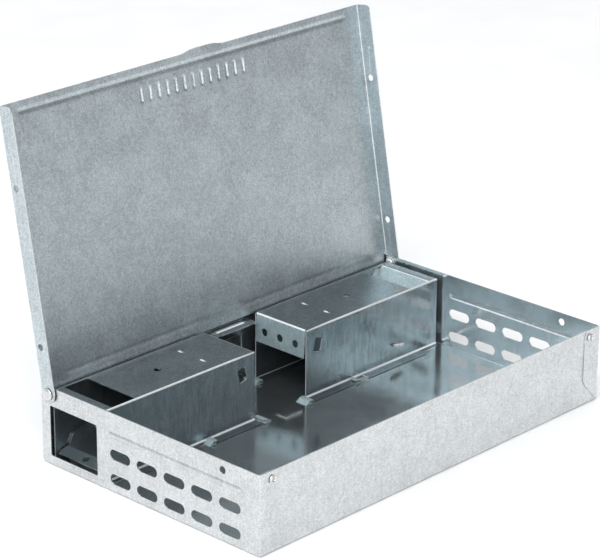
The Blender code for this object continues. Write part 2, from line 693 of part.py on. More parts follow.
def make_ramp(finish):
    """The left see-saw ramp about its pivot: deck, two ears and a round hole."""
    ramp = folded("left_ramp", [DECK_ENTRY, DECK_KINK, DECK_INNER], -RAMP_HALF, RAMP_HALF,
                  RAMP_SHEET, 0.8 * MM, finish)
    ramp.data.transform(Matrix.Rotation(math.radians(-90), 4, Z))
    ears = []

    def in_deck(u):
        return (u, deck_height(u) - RAMP_SHEET / 2)

    ear = [in_deck(-20.9 * MM)]
    ear += arc(0, 0, 2.6 * MM, 152, 408, 12)
    ear += [in_deck(18.0 * MM), (12.0 * MM, 9.2 * MM)]
    ear += arc(6.0 * MM, 7.6 * MM, 3.4 * MM, 50, 110, 4)
    ear += arc(-19.3 * MM, 0.4 * MM, 2.3 * MM, 100, 180, 4)
    for side in (-1, 1):
        offset = side * (RAMP_HALF - RAMP_SHEET / 2 - 0.05 * MM)
        ears.append(plate(f"ramp_ear_{side}", [ear], RAMP_SHEET, Vector((0, offset, 0)), X, Z))
    hole = rod("ramp_hole", 2.0 * MM, 8 * MM, Vector((-25.3 * MM, 0, -3.4 * MM)), Z)
    wire_hole = rod("ramp_wire_hole", WIRE_RADIUS + GAP, 60 * MM, Vector((0, 0, 0)), Y, 16)
    combine(ramp, ears, "UNION")
    combine(ramp, [hole, wire_hole], "DIFFERENCE")
    for obj in [ramp, hole, wire_hole] + ears:
        obj.matrix_world = Matrix.Translation((RAMP_AXIS_X, TUNNEL_MID, RAMP_AXIS_Z)) @ obj.matrix_world
    return ramp


def make_counterweight(finish):
    """The steel block under the ramp's entrance half, which brings the ramp back."""
    low = -RAMP_AXIS_Z + SHEET + 0.4 * MM
    under = RAMP_SHEET + GAP + 0.15 * MM
    start = -21.5 * MM
    end = -1.8 * MM
    outline = [(start, low), (end, low), (end, deck_height(end) - under),
               (start, deck_height(start) - under)]
    block = plate("left_ramp_counterweight", [outline], 34.6 * MM,
                  Vector((RAMP_AXIS_X, TUNNEL_MID, RAMP_AXIS_Z)), X, Z, finish)
    soften = block.modifiers.new("edges", "BEVEL")
    soften.width = 0.3 * MM
    soften.segments = 1
    return block


def make_pivot_wire(finish):
    """The left ramp's pivot wire, its front end bent over beside the cover."""
    front = TUNNEL_FRONT - TUNNEL_MID - WIRE_RADIUS - GAP
    rear = TUNNEL_REAR - TUNNEL_MID + 1.6 * MM
    slope = Vector((math.cos(math.atan(RAMP_SLOPE)), 0, math.sin(math.atan(RAMP_SLOPE))))
    bend = 1.1 * MM
    points = [Vector((0, rear, 0)), Vector((0, front + bend, 0))]
    for step in range(1, 4):
        angle = math.radians(90 * step / 4)
        points.append(Vector((0, front + bend - bend * math.sin(angle), 0))
                      + slope * bend * (1 - math.cos(angle)))
    points += [Vector((0, front, 0)) + slope * bend, Vector((0, front, 0)) + slope * 7.0 * MM]
    curve = bpy.data.curves.new("wire", "CURVE")
    curve.dimensions = "3D"
    curve.bevel_depth = WIRE_RADIUS
    curve.bevel_resolution = 3
    curve.use_fill_caps = True
    spline = curve.splines.new("POLY")
    spline.points.add(len(points) - 1)
    for knot, point in zip(spline.points, points):
        knot.co = (*point, 1)
    holder = bpy.data.objects.new("wire", curve)
    bpy.context.scene.collection.objects.link(holder)
    mesh = evaluated_mesh(holder)
    bpy.data.objects.remove(holder)
    bpy.data.curves.remove(curve)
    wire = add("left_ramp_pivot_wire", mesh, finish)
    wire.location = (RAMP_AXIS_X, TUNNEL_MID, RAMP_AXIS_Z)
    return wire


def settle(obj):
    """Fix the modifiers and any turn into the mesh, with the origin left in its place."""
    mesh = evaluated_mesh(obj)
    spot = obj.matrix_world.to_translation()
    mesh.transform(Matrix.Translation(-spot) @ obj.matrix_world)
    obj.modifiers.clear()
    obj.data = mesh
    obj.matrix_world = Matrix.Translation(spot)


def main():
    """Make every part, then the right-hand ones as mirror images."""
    galvanised = metal("galvanised_sheet", (0.62, 0.65, 0.67), 0.35)
    inner_sheet = metal("galvanised_inner_sheet", (0.42, 0.46, 0.48), 0.3)
    bright = metal("bright_steel", (0.72, 0.72, 0.70), 0.25)
    dull = metal("plain_steel", (0.40, 0.40, 0.40), 0.5)
    make_base(galvanised)
    make_lid(galvanised)
    make_rear_shelf(inner_sheet)
    make_corner_rivets(bright)
    for left in (make_hinge_rivet(bright), make_hinge_washer(bright),
                 make_tunnel_cover(inner_sheet), make_ramp(inner_sheet),
                 make_counterweight(dull), make_pivot_wire(bright)):
        settle(left)
        mirror_copy(left, left.name.replace("left_", "right_"))
    for part in PARTS.objects:
        smooth_rounds(part)


main()
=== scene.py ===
# %% [markdown]
# # A multi-catch mouse trap in galvanised sheet
# The trap is a low box folded from zinc-coated steel. A mouse walks in through a door in a side
# wall, up a see-saw ramp inside a tunnel, and drops into the box. The lid is riveted to the side
# walls and stands open, leaning on the rear wall.
#
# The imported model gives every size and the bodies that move. The looks are made here: each
# sheet is folded, pressed and punched again in the way that a sheet metal shop works, which
# gives real bends, beads and cut edges for the light to catch.

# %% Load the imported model
import json
import math
from contextlib import contextmanager

import bmesh
import bpy
from mathutils import Matrix, Vector


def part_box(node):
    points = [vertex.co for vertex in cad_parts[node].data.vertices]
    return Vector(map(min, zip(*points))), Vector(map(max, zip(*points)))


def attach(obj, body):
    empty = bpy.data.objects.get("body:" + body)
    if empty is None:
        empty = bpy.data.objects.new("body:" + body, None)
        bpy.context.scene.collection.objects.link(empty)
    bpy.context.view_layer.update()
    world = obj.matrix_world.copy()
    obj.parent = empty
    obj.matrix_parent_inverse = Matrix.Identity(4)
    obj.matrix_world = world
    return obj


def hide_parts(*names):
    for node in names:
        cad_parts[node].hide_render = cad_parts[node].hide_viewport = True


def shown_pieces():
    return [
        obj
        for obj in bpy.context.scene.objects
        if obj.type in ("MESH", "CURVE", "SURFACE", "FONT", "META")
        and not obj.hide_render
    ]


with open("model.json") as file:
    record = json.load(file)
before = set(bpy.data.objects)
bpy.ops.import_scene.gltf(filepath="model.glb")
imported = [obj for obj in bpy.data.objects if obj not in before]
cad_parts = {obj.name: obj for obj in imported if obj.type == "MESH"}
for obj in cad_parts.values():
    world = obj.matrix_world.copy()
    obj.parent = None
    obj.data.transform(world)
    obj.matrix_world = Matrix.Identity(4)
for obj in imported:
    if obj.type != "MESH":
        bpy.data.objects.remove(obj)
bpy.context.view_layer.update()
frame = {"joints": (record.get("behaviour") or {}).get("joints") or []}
MM = 0.001
X = Vector((1, 0, 0))
Y = Vector((0, 1, 0))
Z = Vector((0, 0, 1))

# %% [markdown]
# ## Sizes
# A few driving sizes place everything. The hinge and the ramps' pivots are read from the packed
# joints, so that the new sheets turn about the same lines as the bodies do.

# %% Driving sizes
LENGTH = 266.7 * MM
WIDTH = 160.0 * MM
HEIGHT = 44.5 * MM
SHEET = 0.6 * MM
GAP = 0.3 * MM
FAR = 20 * MM
LEFT = -LENGTH / 2
FRONT = -WIDTH / 2
REAR = WIDTH / 2

pivots = {joint["name"]: Vector(joint["pos_m"]) for joint in frame["joints"]}
HINGE = pivots["lid_hinge"]
RAMP = pivots["left_ramp_pivot"]
cover_low, cover_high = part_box("left_tunnel_cover")
TUNNEL_FRONT = FRONT + 114.6 * MM
TUNNEL_REAR = cover_high[1]
TUNNEL_OUTER = cover_low[0]
TUNNEL_INNER = LEFT + 113.0 * MM
TUNNEL_MID = RAMP.y
TUNNEL_TOP = 41.5 * MM
print("hinge line at y", round(HINGE.y / MM, 1), "z", round(HINGE.z / MM, 1), "mm")

# %% [markdown]
# ## Selecting and editing
# In a script, the operators of edit mode act on whatever is selected, just as they do by hand.
# So a few small helpers come first. One takes a single object into edit mode and out again, one
# selects faces, edges or points by a test on their place, and the others make primitives.

# %% Helpers for selecting and editing
CLOSE = 0.01 * MM


def take(obj):
    """Make obj the only selected object, and the active one."""
    bpy.ops.object.select_all(action="DESELECT")
    obj.select_set(True)
    bpy.context.view_layer.objects.active = obj


@contextmanager
def editing(obj, mode="FACE"):
    """Edit mode on one object, with nothing selected at first."""
    take(obj)
    bpy.ops.object.mode_set(mode="EDIT")
    bpy.ops.mesh.select_mode(type=mode)
    bpy.ops.mesh.select_all(action="DESELECT")
    yield
    bpy.ops.object.mode_set(mode="OBJECT")


def middle(item):
    """The place of a point, or the middle of an edge or face."""
    if isinstance(item, bmesh.types.BMVert):
        return item.co
    return sum((vert.co for vert in item.verts), Vector()) / len(item.verts)


def pick(test, kind="faces"):
    """Select only the faces, edges or verts for which test(place, item) is true."""
    bpy.ops.mesh.select_all(action="DESELECT")
    mesh = bpy.context.edit_object.data
    work = bmesh.from_edit_mesh(mesh)
    for item in getattr(work, kind):
        if test(middle(item), item):
            item.select_set(True)
    work.select_flush_mode()
    bmesh.update_edit_mesh(mesh)


def near(a, b):
    """True if two lengths are as good as the same."""
    return abs(a - b) < CLOSE


def start(name, size, centre):
    """Give a new primitive its name, size and place, and fix them in its mesh."""
    obj = bpy.context.active_object
    obj.name = name
    obj.data.name = name
    obj.scale = size
    obj.location = centre
    bpy.ops.object.transform_apply(location=True, rotation=True, scale=True)
    return obj


def block(name, low, high):
    """A cuboid between two corners."""
    low = Vector(low)
    high = Vector(high)
    bpy.ops.object.select_all(action="DESELECT")
    bpy.ops.mesh.primitive_cube_add(size=1)
    return start(name, high - low, (low + high) / 2)


def flat(name, low, high, height):
    """A level rectangle between two corners (x, y)."""
    low = Vector((*low, height))
    high = Vector((*high, height))
    bpy.ops.object.select_all(action="DESELECT")
    bpy.ops.mesh.primitive_plane_add(size=1)
    return start(name, high - low + Z, (low + high) / 2)


def bar(name, radius, length, centre, axis, sides=32):
    """A round bar."""
    bpy.ops.object.select_all(action="DESELECT")
    bpy.ops.mesh.primitive_cylinder_add(vertices=sides, radius=radius, depth=length)
    obj = bpy.context.active_object
    obj.rotation_euler = Z.rotation_difference(axis).to_euler()
    return start(name, (1, 1, 1), centre)


# %% [markdown]
# ## Working sheet metal
# A press shop folds, presses and punches flat sheet. The same steps work here on a surface with
# no thickness: edges are extruded into walls, folds are bevelled round, and beads are pressed
# with proportional editing, which pulls the sheet along as a die does. The surface then gets
# its thickness, and holes are cut with Boolean modifiers. A fine bevel on the raw edges at the
# end gives the thin bright lines that cut sheet shows.

# %% Helpers for sheet work
BEAD_STEPS = (-1.2, -0.95, -0.7, -0.45, -0.2, 0, 0.2, 0.45, 0.7, 0.95, 1.2)


def fold(test, *moves):
    """Extrude the edges that pass the test, once for each move."""
    bpy.ops.mesh.select_mode(type="EDGE")
    pick(test, "edges")
    for move in moves:
        bpy.ops.mesh.extrude_region_move(TRANSFORM_OT_translate={"value": move})


def round_folds(test, radius, segments=4):
    """Bevel the fold edges that pass the test."""
    bpy.ops.mesh.select_mode(type="EDGE")
    pick(test, "edges")
    bpy.ops.mesh.bevel(offset=radius, segments=segments, profile=0.5)


def score(test, axis, places):
    """Cut straight lines over the faces that pass the test, at places along an axis."""
    bpy.ops.mesh.select_mode(type="FACE")
    for place in places:
        pick(test)
        bpy.ops.mesh.bisect(plane_co=axis * place, plane_no=axis)


def push(test, move, radius=None, falloff="SMOOTH"):
    """Move the points that pass the test, and the sheet near them when a radius is given."""
    bpy.ops.mesh.select_mode(type="VERT")
    pick(test, "verts")
    if radius is None:
        bpy.ops.transform.translate(value=move)
        return
    bpy.ops.transform.translate(value=move, use_proportional_edit=True,
                                proportional_edit_falloff=falloff, proportional_size=radius)


def press_bead(test, tips, move, radius, falloff="SMOOTH"):
    """Press a straight, round-ended bead between two tips, by move at its middle line."""
    first, last = tips
    along = (last - first).normalized()
    across = move.normalized().cross(along)
    steps = [radius * step for step in BEAD_STEPS]
    score(test, across, [first.dot(across) + step for step in steps])
    for tip in tips:
        score(test, along, [tip.dot(along) + step for step in steps])

    def on_line(place, _):
        offset = place - first
        reach = offset.dot(along)
        inside = -CLOSE < reach < (last - first).length + CLOSE
        return inside and (offset - along * reach).length < CLOSE

    push(on_line, move, radius * 1.15, falloff)


def use(obj, kind, **settings):
    """Add a modifier with its settings and apply it."""
    take(obj)
    modifier = obj.modifiers.new("step", kind)
    for key, value in settings.items():
        setattr(modifier, key, value)
    bpy.ops.object.modifier_apply(modifier=modifier.name)


def thicken(obj, sheet=SHEET):
    """Give a surface its thickness, on the side away from its normals."""
    use(obj, "SOLIDIFY", thickness=sheet, offset=-1, use_even_offset=True)


def together(tools):
    """Join several tools into one object."""
    take(tools[0])
    for tool in tools:
        tool.select_set(True)
    bpy.ops.object.join()
    return tools[0]


def cut(obj, tools, operation="DIFFERENCE"):
    """Punch the tools out of obj, or weld them to it with operation UNION."""
    tool = together(tools)
    use(obj, "BOOLEAN", operation=operation, solver="EXACT", object=tool)
    bpy.data.objects.remove(tool, do_unlink=True)


def again(obj, name, move):
    """A copy with its own mesh, moved."""
    twin = obj.copy()
    twin.data = obj.data.copy()
    twin.name = name
    twin.data.name = name
    twin.data.transform(Matrix.Translation(move))
    bpy.context.collection.objects.link(twin)
    return twin


def mirrored(obj, name):
    """A mirror image on the other side of the middle of the trap, faces outward again."""
    twin = again(obj, name, (0, 0, 0))
    twin.data.transform(Matrix.Scale(-1, 4, X))
    twin.data.flip_normals()
    return twin


def soft_block(name, low, high, axis, radius, segments=10):
    """A cuboid whose edges along an axis are round."""
    obj = block(name, low, high)
    centre = (Vector(low) + Vector(high)) / 2
    with editing(obj, "EDGE"):
        pick(lambda place, _: near(place.dot(axis), centre.dot(axis)), "edges")
        bpy.ops.mesh.bevel(offset=radius, segments=segments)
    return obj


def break_edges(obj, width, angle, segments=2):
    """Bevel the edges that turn by more than an angle in degrees."""
    use(obj, "BEVEL", width=width, segments=segments, limit_method="ANGLE",
        angle_limit=math.radians(angle))


def smooth(obj, angle=40):
    """Shade bends smooth, and leave edges that turn by more than an angle in degrees."""
    take(obj)
    bpy.ops.object.shade_smooth_by_angle(angle=math.radians(angle))


def dress_edges(obj, width=0.09 * MM):
    """Break the raw edges and shade the piece: flat faces flat, bends smooth."""
    break_edges(obj, width, 50)
    smooth(obj, 35)
    use(obj, "WEIGHTED_NORMAL", keep_sharp=True, weight=60)


def belongs(obj, body, slot, *nodes):
    """The piece rides on a body and stands for the CAD nodes. The slot is not used."""
    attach(obj, body)
    if nodes:
        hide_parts(*nodes)
    print(obj.name, "rides on", body, "with", len(obj.data.polygons), "faces")


# %% [markdown]
# ## The pan
# The floor and the four walls are one blank, folded up. A cube with its top face deleted gives
# the five sides at once; bevelling its lower and upright edges gives the bend radius. Each side
# wall has one long stiffening bead, pressed outwards.

# %% Fold the pan and press its beads
BEND = 1.1 * MM
WALL_BEAD_Z = 32.2 * MM
WALL_BEAD_ENDS = (FRONT + 14.0 * MM, FRONT + 106.0 * MM)

pan = block("trap_pan", (LEFT, FRONT, 0), (-LEFT, REAR, HEIGHT))
with editing(pan):
    pick(lambda place, face: face.normal.z > 0.5)
    bpy.ops.mesh.delete(type="ONLY_FACE")
    round_folds(lambda place, edge: place.z < HEIGHT - MM, BEND)
    for side in (-1, 1):
        wall = side * LENGTH / 2
        press_bead(lambda place, face: near(place.x, wall),
                   [Vector((wall, end, WALL_BEAD_Z)) for end in WALL_BEAD_ENDS],
                   X * side * 0.75 * MM, 1.5 * MM, "SPHERE")
thicken(pan)
print("pan surface pressed,", len(pan.data.polygons), "faces")

# %% [markdown]
# ## Punching the pan
# The side walls have two rows of five slots, a door for the mouse, a hole for the hinge rivet
# and a snap hole near the front, whose place is measured from the hinge line. One slot tool is a
# cuboid whose long edges are bevelled until its ends are round. It is copied for the others, and
# all tools go through both walls at once. The front and rear walls get the rivets' holes.

# %% Punch slots, doors and holes
SLOT = (15.0 * MM, 5.8 * MM)
SLOT_FIRST = (FRONT + 20.7 * MM, 7.6 * MM)
SLOT_PITCH = (19.75 * MM, 13.9 * MM)
DOOR_LOW = (FRONT + 117.0 * MM, 5.5 * MM)
DOOR_HIGH = (FRONT + 152.9 * MM, 34.0 * MM)
SNAP = Vector((0, -127.1 * MM, -1.6 * MM))
RIVET_X = LENGTH / 2 - 8.6 * MM
RIVET_Z = 40.0 * MM
HINGE_HOLE = 1.9 * MM
CORNER_HOLE = 1.6 * MM
OUT = LENGTH / 2 + FAR

slot = soft_block("slot", (-OUT, SLOT_FIRST[0] - SLOT[0] / 2, SLOT_FIRST[1] - SLOT[1] / 2),
                  (OUT, SLOT_FIRST[0] + SLOT[0] / 2, SLOT_FIRST[1] + SLOT[1] / 2), X,
                  SLOT[1] * 0.499)
punches = [again(slot, "slot", (0, column * SLOT_PITCH[0], row * SLOT_PITCH[1]))
           for row in range(2) for column in range(5)]
bpy.data.objects.remove(slot, do_unlink=True)
punches.append(soft_block("doors", (-OUT, *DOOR_LOW), (OUT, *DOOR_HIGH), X, 0.8 * MM, 4))
punches.append(bar("hinge_holes", HINGE_HOLE, 2 * OUT, HINGE, X))
punches.append(bar("snap_holes", 2.1 * MM, 2 * OUT, HINGE + SNAP, X))
for side in (-1, 1):
    punches.append(bar("corner_holes", CORNER_HOLE, WIDTH + FAR, (side * RIVET_X, 0, RIVET_Z), Y))
cut(pan, punches)
print("punched", len(pan.data.polygons), "faces left in the pan")

# %% [markdown]
# ## Tabs raised from the floor
# Six small tabs hold the ends of the tunnel covers' feet, and a flat clip stands between them.
# Each is lanced from the floor, so it leaves a window behind. A tab starts as a little plane.
# Its edge is extruded down to the floor, and the sheet then gets its thickness.

# %% Raise the floor's tabs
CATCH_TOP = 2.7 * MM
CATCH_SHEET = 0.5 * MM
CATCH_ENDS = (-2.2 * MM, 0.4 * MM)
CATCH_FOLDS = ((2.6 * MM, -1.75 * MM), (0.7 * MM, -0.3 * MM))
CATCH_WINDOW = (-2.0 * MM, 2.7 * MM)
CATCHES = {"front": (LEFT + 116.2 * MM, 1, TUNNEL_FRONT - 2.6 * MM, 7.6 * MM),
           "rear": (LEFT + 116.2 * MM, 1, TUNNEL_REAR - 4.2 * MM, 5.0 * MM),
           "outer": (LEFT + 76.1 * MM, -1, TUNNEL_FRONT - 3.8 * MM, 5.0 * MM)}
CLIP_HALF = 6.5 * MM
CLIP_Y = (FRONT + 104.0 * MM, FRONT + 110.6 * MM)
CLIP_TOP = 2.2 * MM

tabs = []
windows = []
for place_name, (catch_x, facing, catch_y, wide) in CATCHES.items():
    ends = [catch_x + facing * offset for offset in CATCH_ENDS]
    tab = flat(f"left_{place_name}_catch", (min(ends), catch_y - wide / 2),
               (max(ends), catch_y + wide / 2), CATCH_TOP)
    with editing(tab, "EDGE"):
        fold(lambda place, edge: near(place.x, ends[1]),
             *[(facing * out, 0, down) for out, down in CATCH_FOLDS])
        round_folds(lambda place, edge: near(place.x, ends[1]), 0.5 * MM)
    thicken(tab, CATCH_SHEET)
    tabs += [tab, mirrored(tab, f"right_{place_name}_catch")]
    half = wide / 2 + 0.2 * MM
    for side in (-1, 1):
        ends = sorted(-side * (catch_x + facing * offset) for offset in CATCH_WINDOW)
        windows.append(soft_block("window", (ends[0], catch_y - half, -SHEET),
                                  (ends[1], catch_y + half, 2 * SHEET), Z, 0.4 * MM, 3))
clip = flat("floor_clip", (-CLIP_HALF, CLIP_Y[0]), (CLIP_HALF, CLIP_Y[1]), CLIP_TOP)
with editing(clip, "EDGE"):
    fold(lambda place, edge: near(place.y, CLIP_Y[1]),
         (0, 1.8 * MM, -1.3 * MM), (0, 0.6 * MM, -0.25 * MM))
    round_folds(lambda place, edge: near(place.y, CLIP_Y[1]), 0.6 * MM)
thicken(clip)
tabs.append(clip)
windows.append(block("window", (-CLIP_HALF - GAP, CLIP_Y[0] - GAP, -SHEET),
                     (CLIP_HALF + GAP, CLIP_Y[1] + 1.5 * MM, 2 * SHEET)))
cut(pan, windows)
dress_edges(pan)
for tab in tabs:
    dress_edges(tab, 0.06 * MM)
print("raised", len(tabs), "tabs")

# %% [markdown]
# ## Corner tabs and the rear hem
# Where two walls meet, the side wall's end is folded round the corner and riveted. At the front
# right corner the tab lies outside, with its lower end cut on a slant. At the other corners it
# lies inside. A tab is a thin cuboid, cut across at the heights where its outline turns, whose
# free edge is then moved point by point. The rear wall's top edge is doubled over.

# %% Fold the corner tabs
TAB_WIDE = 12.9 * MM
TAB_TURNS = (11.0 * MM, 15.0 * MM, HEIGHT - 4.0 * MM)
TAB_TOP = HEIGHT - 0.05 * MM


def corner_tab(name, side, end, outside):
    """One corner tab, on the outside or the inside of the front or rear wall."""
    face = end * (WIDTH / 2 + (SHEET if outside else -SHEET))
    root = side * (LENGTH / 2 - (0 if outside else SHEET / 2))
    free = side * (LENGTH / 2 - TAB_WIDE)
    low = 0.8 * MM if outside else TAB_TURNS[0]
    depths = sorted((face, face - end * (SHEET - 0.02 * MM)) if outside
                    else (face + end * 0.05 * MM, face - end * (SHEET - 0.05 * MM)))
    ends = sorted((root, free))
    insets = [(TAB_TOP, 1.5 * MM), (TAB_TURNS[0], 2.5 * MM)]
    if outside:
        insets.append((low, 12.3 * MM))
    tab = block(name, (ends[0], depths[0], low), (ends[1], depths[1], TAB_TOP))
    with editing(tab):
        score(lambda place, face: True, Z, TAB_TURNS)
        for height, inset in insets:
            push(lambda place, _: near(place.x, free) and near(place.z, height),
                 (side * inset, 0, 0))
        if outside:
            round_folds(lambda place, edge: near(place.x, root) and near(place.y, face)
                        and abs(edge.verts[0].co.z - edge.verts[1].co.z) > MM, 0.5 * MM)
    cut(tab, [bar("hole", CORNER_HOLE, WIDTH + FAR, (side * RIVET_X, 0, RIVET_Z), Y)])
    dress_edges(tab)
    return tab


corner_tabs = [corner_tab("front_left_tab", -1, -1, False),
               corner_tab("front_right_tab", 1, -1, True),
               corner_tab("rear_left_tab", -1, 1, False),
               corner_tab("rear_right_tab", 1, 1, False)]
hem = soft_block("rear_hem", (LEFT + 14 * MM, REAR - 1.5 * MM, HEIGHT - 4 * MM),
                 (-LEFT - 14 * MM, REAR - SHEET + 0.05 * MM, TAB_TOP), X, 0.4 * MM, 4)
dress_edges(hem)
belongs(pan, "base", "galvanised_sheet", "base_pan")
for piece in tabs + corner_tabs + [hem]:
    belongs(piece, "base", "galvanised_sheet")

# %% [markdown]
# ## Rivets and washers
# A rivet is round, so it is grown ring by ring: a filled circle is extruded along its axis and
# each new ring is scaled to its radius. The hinge rivets have a domed head outside and a rolled
# end inside over a washer. The corner rivets are small hollow ones, set to a rolled rim.

# %% Turn the rivets
def turned(name, rings, centre, axis, sides=40):
    """A round piece from (radius, height) rings, closed by a face at each end."""
    bpy.ops.object.select_all(action="DESELECT")
    bpy.ops.mesh.primitive_circle_add(vertices=sides, radius=rings[0][0], fill_type="NGON")
    obj = start(name, (1, 1, 1), (0, 0, rings[0][1]))
    with editing(obj):
        bpy.ops.mesh.select_all(action="SELECT")
        for (radius, height), (next_radius, next_height) in zip(rings, rings[1:]):
            bpy.ops.mesh.extrude_region_move(
                TRANSFORM_OT_translate={"value": (0, 0, next_height - height)})
            ratio = next_radius / radius
            bpy.ops.transform.resize(value=(ratio, ratio, 1), center_override=(0, 0, next_height))
        bpy.ops.mesh.select_all(action="SELECT")
        bpy.ops.mesh.normals_make_consistent(inside=False)
    obj.rotation_euler = Z.rotation_difference(axis).to_euler()
    obj.location = centre
    bpy.ops.object.transform_apply(location=True, rotation=True, scale=True)
    smooth(obj)
    return obj


def dome(radius, rise, base, steps=7):
    """Rings of a shallow dome, from its rim to near its crown."""
    angles = [math.radians(84 * step / steps) for step in range(steps + 1)]
    return [(radius * math.cos(angle), base + rise * math.sin(angle)) for angle in angles]


LID_CLEAR = 0.7 * MM
tail = -(LID_CLEAR + 2 * SHEET + 3 * GAP + 0.6 * MM)
hinge_rings = [(1.0 * MM, tail - 1.1 * MM), (1.7 * MM, tail - 1.0 * MM),
               (2.3 * MM, tail - 0.7 * MM), (2.5 * MM, tail - 0.35 * MM),
               (2.3 * MM, tail - 0.05 * MM), (1.6 * MM, tail),
               (1.6 * MM, 0.0), (3.1 * MM, 0.0), (3.35 * MM, 0.08 * MM)]
hinge_rings += dome(3.4 * MM, 1.1 * MM, 0.24 * MM)
head_x = LEFT - LID_CLEAR - SHEET - GAP
hinge_rivet = turned("left_hinge_rivet_new", hinge_rings, (head_x, HINGE.y, HINGE.z), -X)
washer = turned("left_hinge_washer_new", [(3.15 * MM, 0.02 * MM), (3.3 * MM, 0.12 * MM),
                                          (3.3 * MM, 0.48 * MM), (3.15 * MM, 0.58 * MM)],
                (LEFT + SHEET + GAP, HINGE.y, HINGE.z), X)
cut(washer, [bar("bore", HINGE_HOLE, 4 * MM, (LEFT + SHEET, HINGE.y, HINGE.z), X, 40)])
break_edges(washer, 0.06 * MM, 60)
for piece, node in ((hinge_rivet, "hinge_rivet"), (washer, "hinge_washer")):
    belongs(piece, "base", "bright_steel", f"left_{node}")
    belongs(mirrored(piece, f"right_{node}_new"), "base", "bright_steel", f"right_{node}")

shank = -(2 * SHEET + 2 * GAP)
corner_rings = [(0.5 * MM, shank - 0.7 * MM), (1.8 * MM, shank - 0.65 * MM),
                (2.1 * MM, shank - 0.35 * MM), (1.9 * MM, shank - 0.02 * MM), (1.3 * MM, shank),
                (1.3 * MM, 0.0), (2.2 * MM, 0.0), (2.3 * MM, 0.15 * MM), (2.15 * MM, 0.5 * MM),
                (1.8 * MM, 0.78 * MM), (1.45 * MM, 0.84 * MM), (1.15 * MM, 0.7 * MM),
                (0.95 * MM, 0.35 * MM), (0.85 * MM, -0.3 * MM)]
for side, side_name in ((-1, "left"), (1, "right")):
    for end, end_name in ((-1, "front"), (1, "rear")):
        proud = SHEET if side > 0 and end < 0 else 0.0
        rivet = turned(f"{end_name}_{side_name}_corner_rivet_new", corner_rings,
                       (side * RIVET_X, end * (WIDTH / 2 + proud + GAP), RIVET_Z), Y * end, 28)
        belongs(rivet, "base", "bright_steel", f"{end_name}_{side_name}_corner_rivet")

# %% [markdown]
# ## The lid
# The lid is a plate with two side flanges that hang outside the walls. It is easiest to model
# closed and level, with the hinge line at the origin, and to turn it open at the end. It has a
# bead near each long edge and a shallow lug at the front for a finger. The pressed lettering of
# such lids is left out: a row of plain ribs in its place gives a fingertip some grip.

# %% Fold and press the lid
LID_TOP = 4.8 * MM
LID_REACH = 152.7 * MM
LID_HALF = LENGTH / 2 + LID_CLEAR + SHEET
FLANGE_END = 5.0 * MM
OPEN_ANGLE = math.radians(100.2)
FINGER_TAB = (-7.0 * MM, 26.5 * MM)
TAB_CURVE = ((0.0, 0.0), (3 * MM, 0.35 * MM), (8 * MM, 1.3 * MM), (11 * MM, 1.5 * MM))
LID_BEADS = ((147.3 * MM, 121.5 * MM), (6.2 * MM, 115.3 * MM))
RIBS = {"count": 13, "pitch": 6.4 * MM, "reach": (134.3 * MM, 140.3 * MM)}
RIB_COLUMNS = (-2.0, -1.4, -0.9, -0.45, 0, 0.45, 0.9, 1.4, 2.0)
RIB_ROWS = (0.5 * MM, 1.0 * MM, 1.5 * MM, 2.2 * MM, 3.2 * MM)


def on_plate(place, face):
    """True for the lid's level faces."""
    return face.normal.z > 0.9


lid = flat("trap_lid", (-LID_HALF, -LID_REACH), (LID_HALF, FLANGE_END), LID_TOP)
with editing(lid, "EDGE"):
    first, last = FINGER_TAB
    curve = [(first + run, rise) for run, rise in TAB_CURVE]
    curve += [(last - run, rise) for run, rise in TAB_CURVE[::-1]]
    score(on_plate, X, [x for x, _ in curve])
    for x, rise in curve:
        push(lambda place, _: near(place.y, -LID_REACH) and near(place.x, x), (0, -rise, 0))
    fold(lambda place, edge: near(abs(place.x), LID_HALF), (0, 0, -LID_TOP - FLANGE_END))
    bpy.ops.mesh.select_mode(type="VERT")
    pick(lambda place, _: near(place.z, -FLANGE_END) and near(place.y, -LID_REACH), "verts")
    bpy.ops.mesh.bevel(offset=3.0 * MM, segments=6, affect="VERTICES")
    round_folds(lambda place, edge: near(abs(place.x), LID_HALF) and near(place.z, LID_TOP),
                0.9 * MM)
    for reach, half in LID_BEADS:
        press_bead(on_plate, [Vector((side * half, -reach, LID_TOP)) for side in (-1, 1)],
                   Z * 0.4 * MM, 2.0 * MM)
    low, high = RIBS["reach"]
    ribs = [(step - (RIBS["count"] - 1) / 2) * RIBS["pitch"] for step in range(RIBS["count"])]
    score(on_plate, Y, [-low + row for row in RIB_ROWS[::-1]] + [-low, -(low + high) / 2, -high]
          + [-high - row for row in RIB_ROWS])
    score(on_plate, X, [rib + column * MM for rib in ribs for column in RIB_COLUMNS])
    push(lambda place, _: -high - CLOSE < place.y < -low + CLOSE and near(place.z, LID_TOP)
         and any(near(place.x, rib) for rib in ribs), (0, 0, 0.55 * MM), 1.3 * MM, "SPHERE")
thicken(lid)
print("lid pressed,", len(lid.data.polygons), "faces")

# %% [markdown]
# ## Cutting the lid and opening it
# The flanges' rear ends are round about the hinge line, so that the lid can turn down past the
# rear wall. The plate stops short of them, with a notch at each side. Each flange has a hinge
# hole, two more holes, and a small pip that snaps into the side wall. The pip is a ball welded
# on, hollowed by a smaller ball.

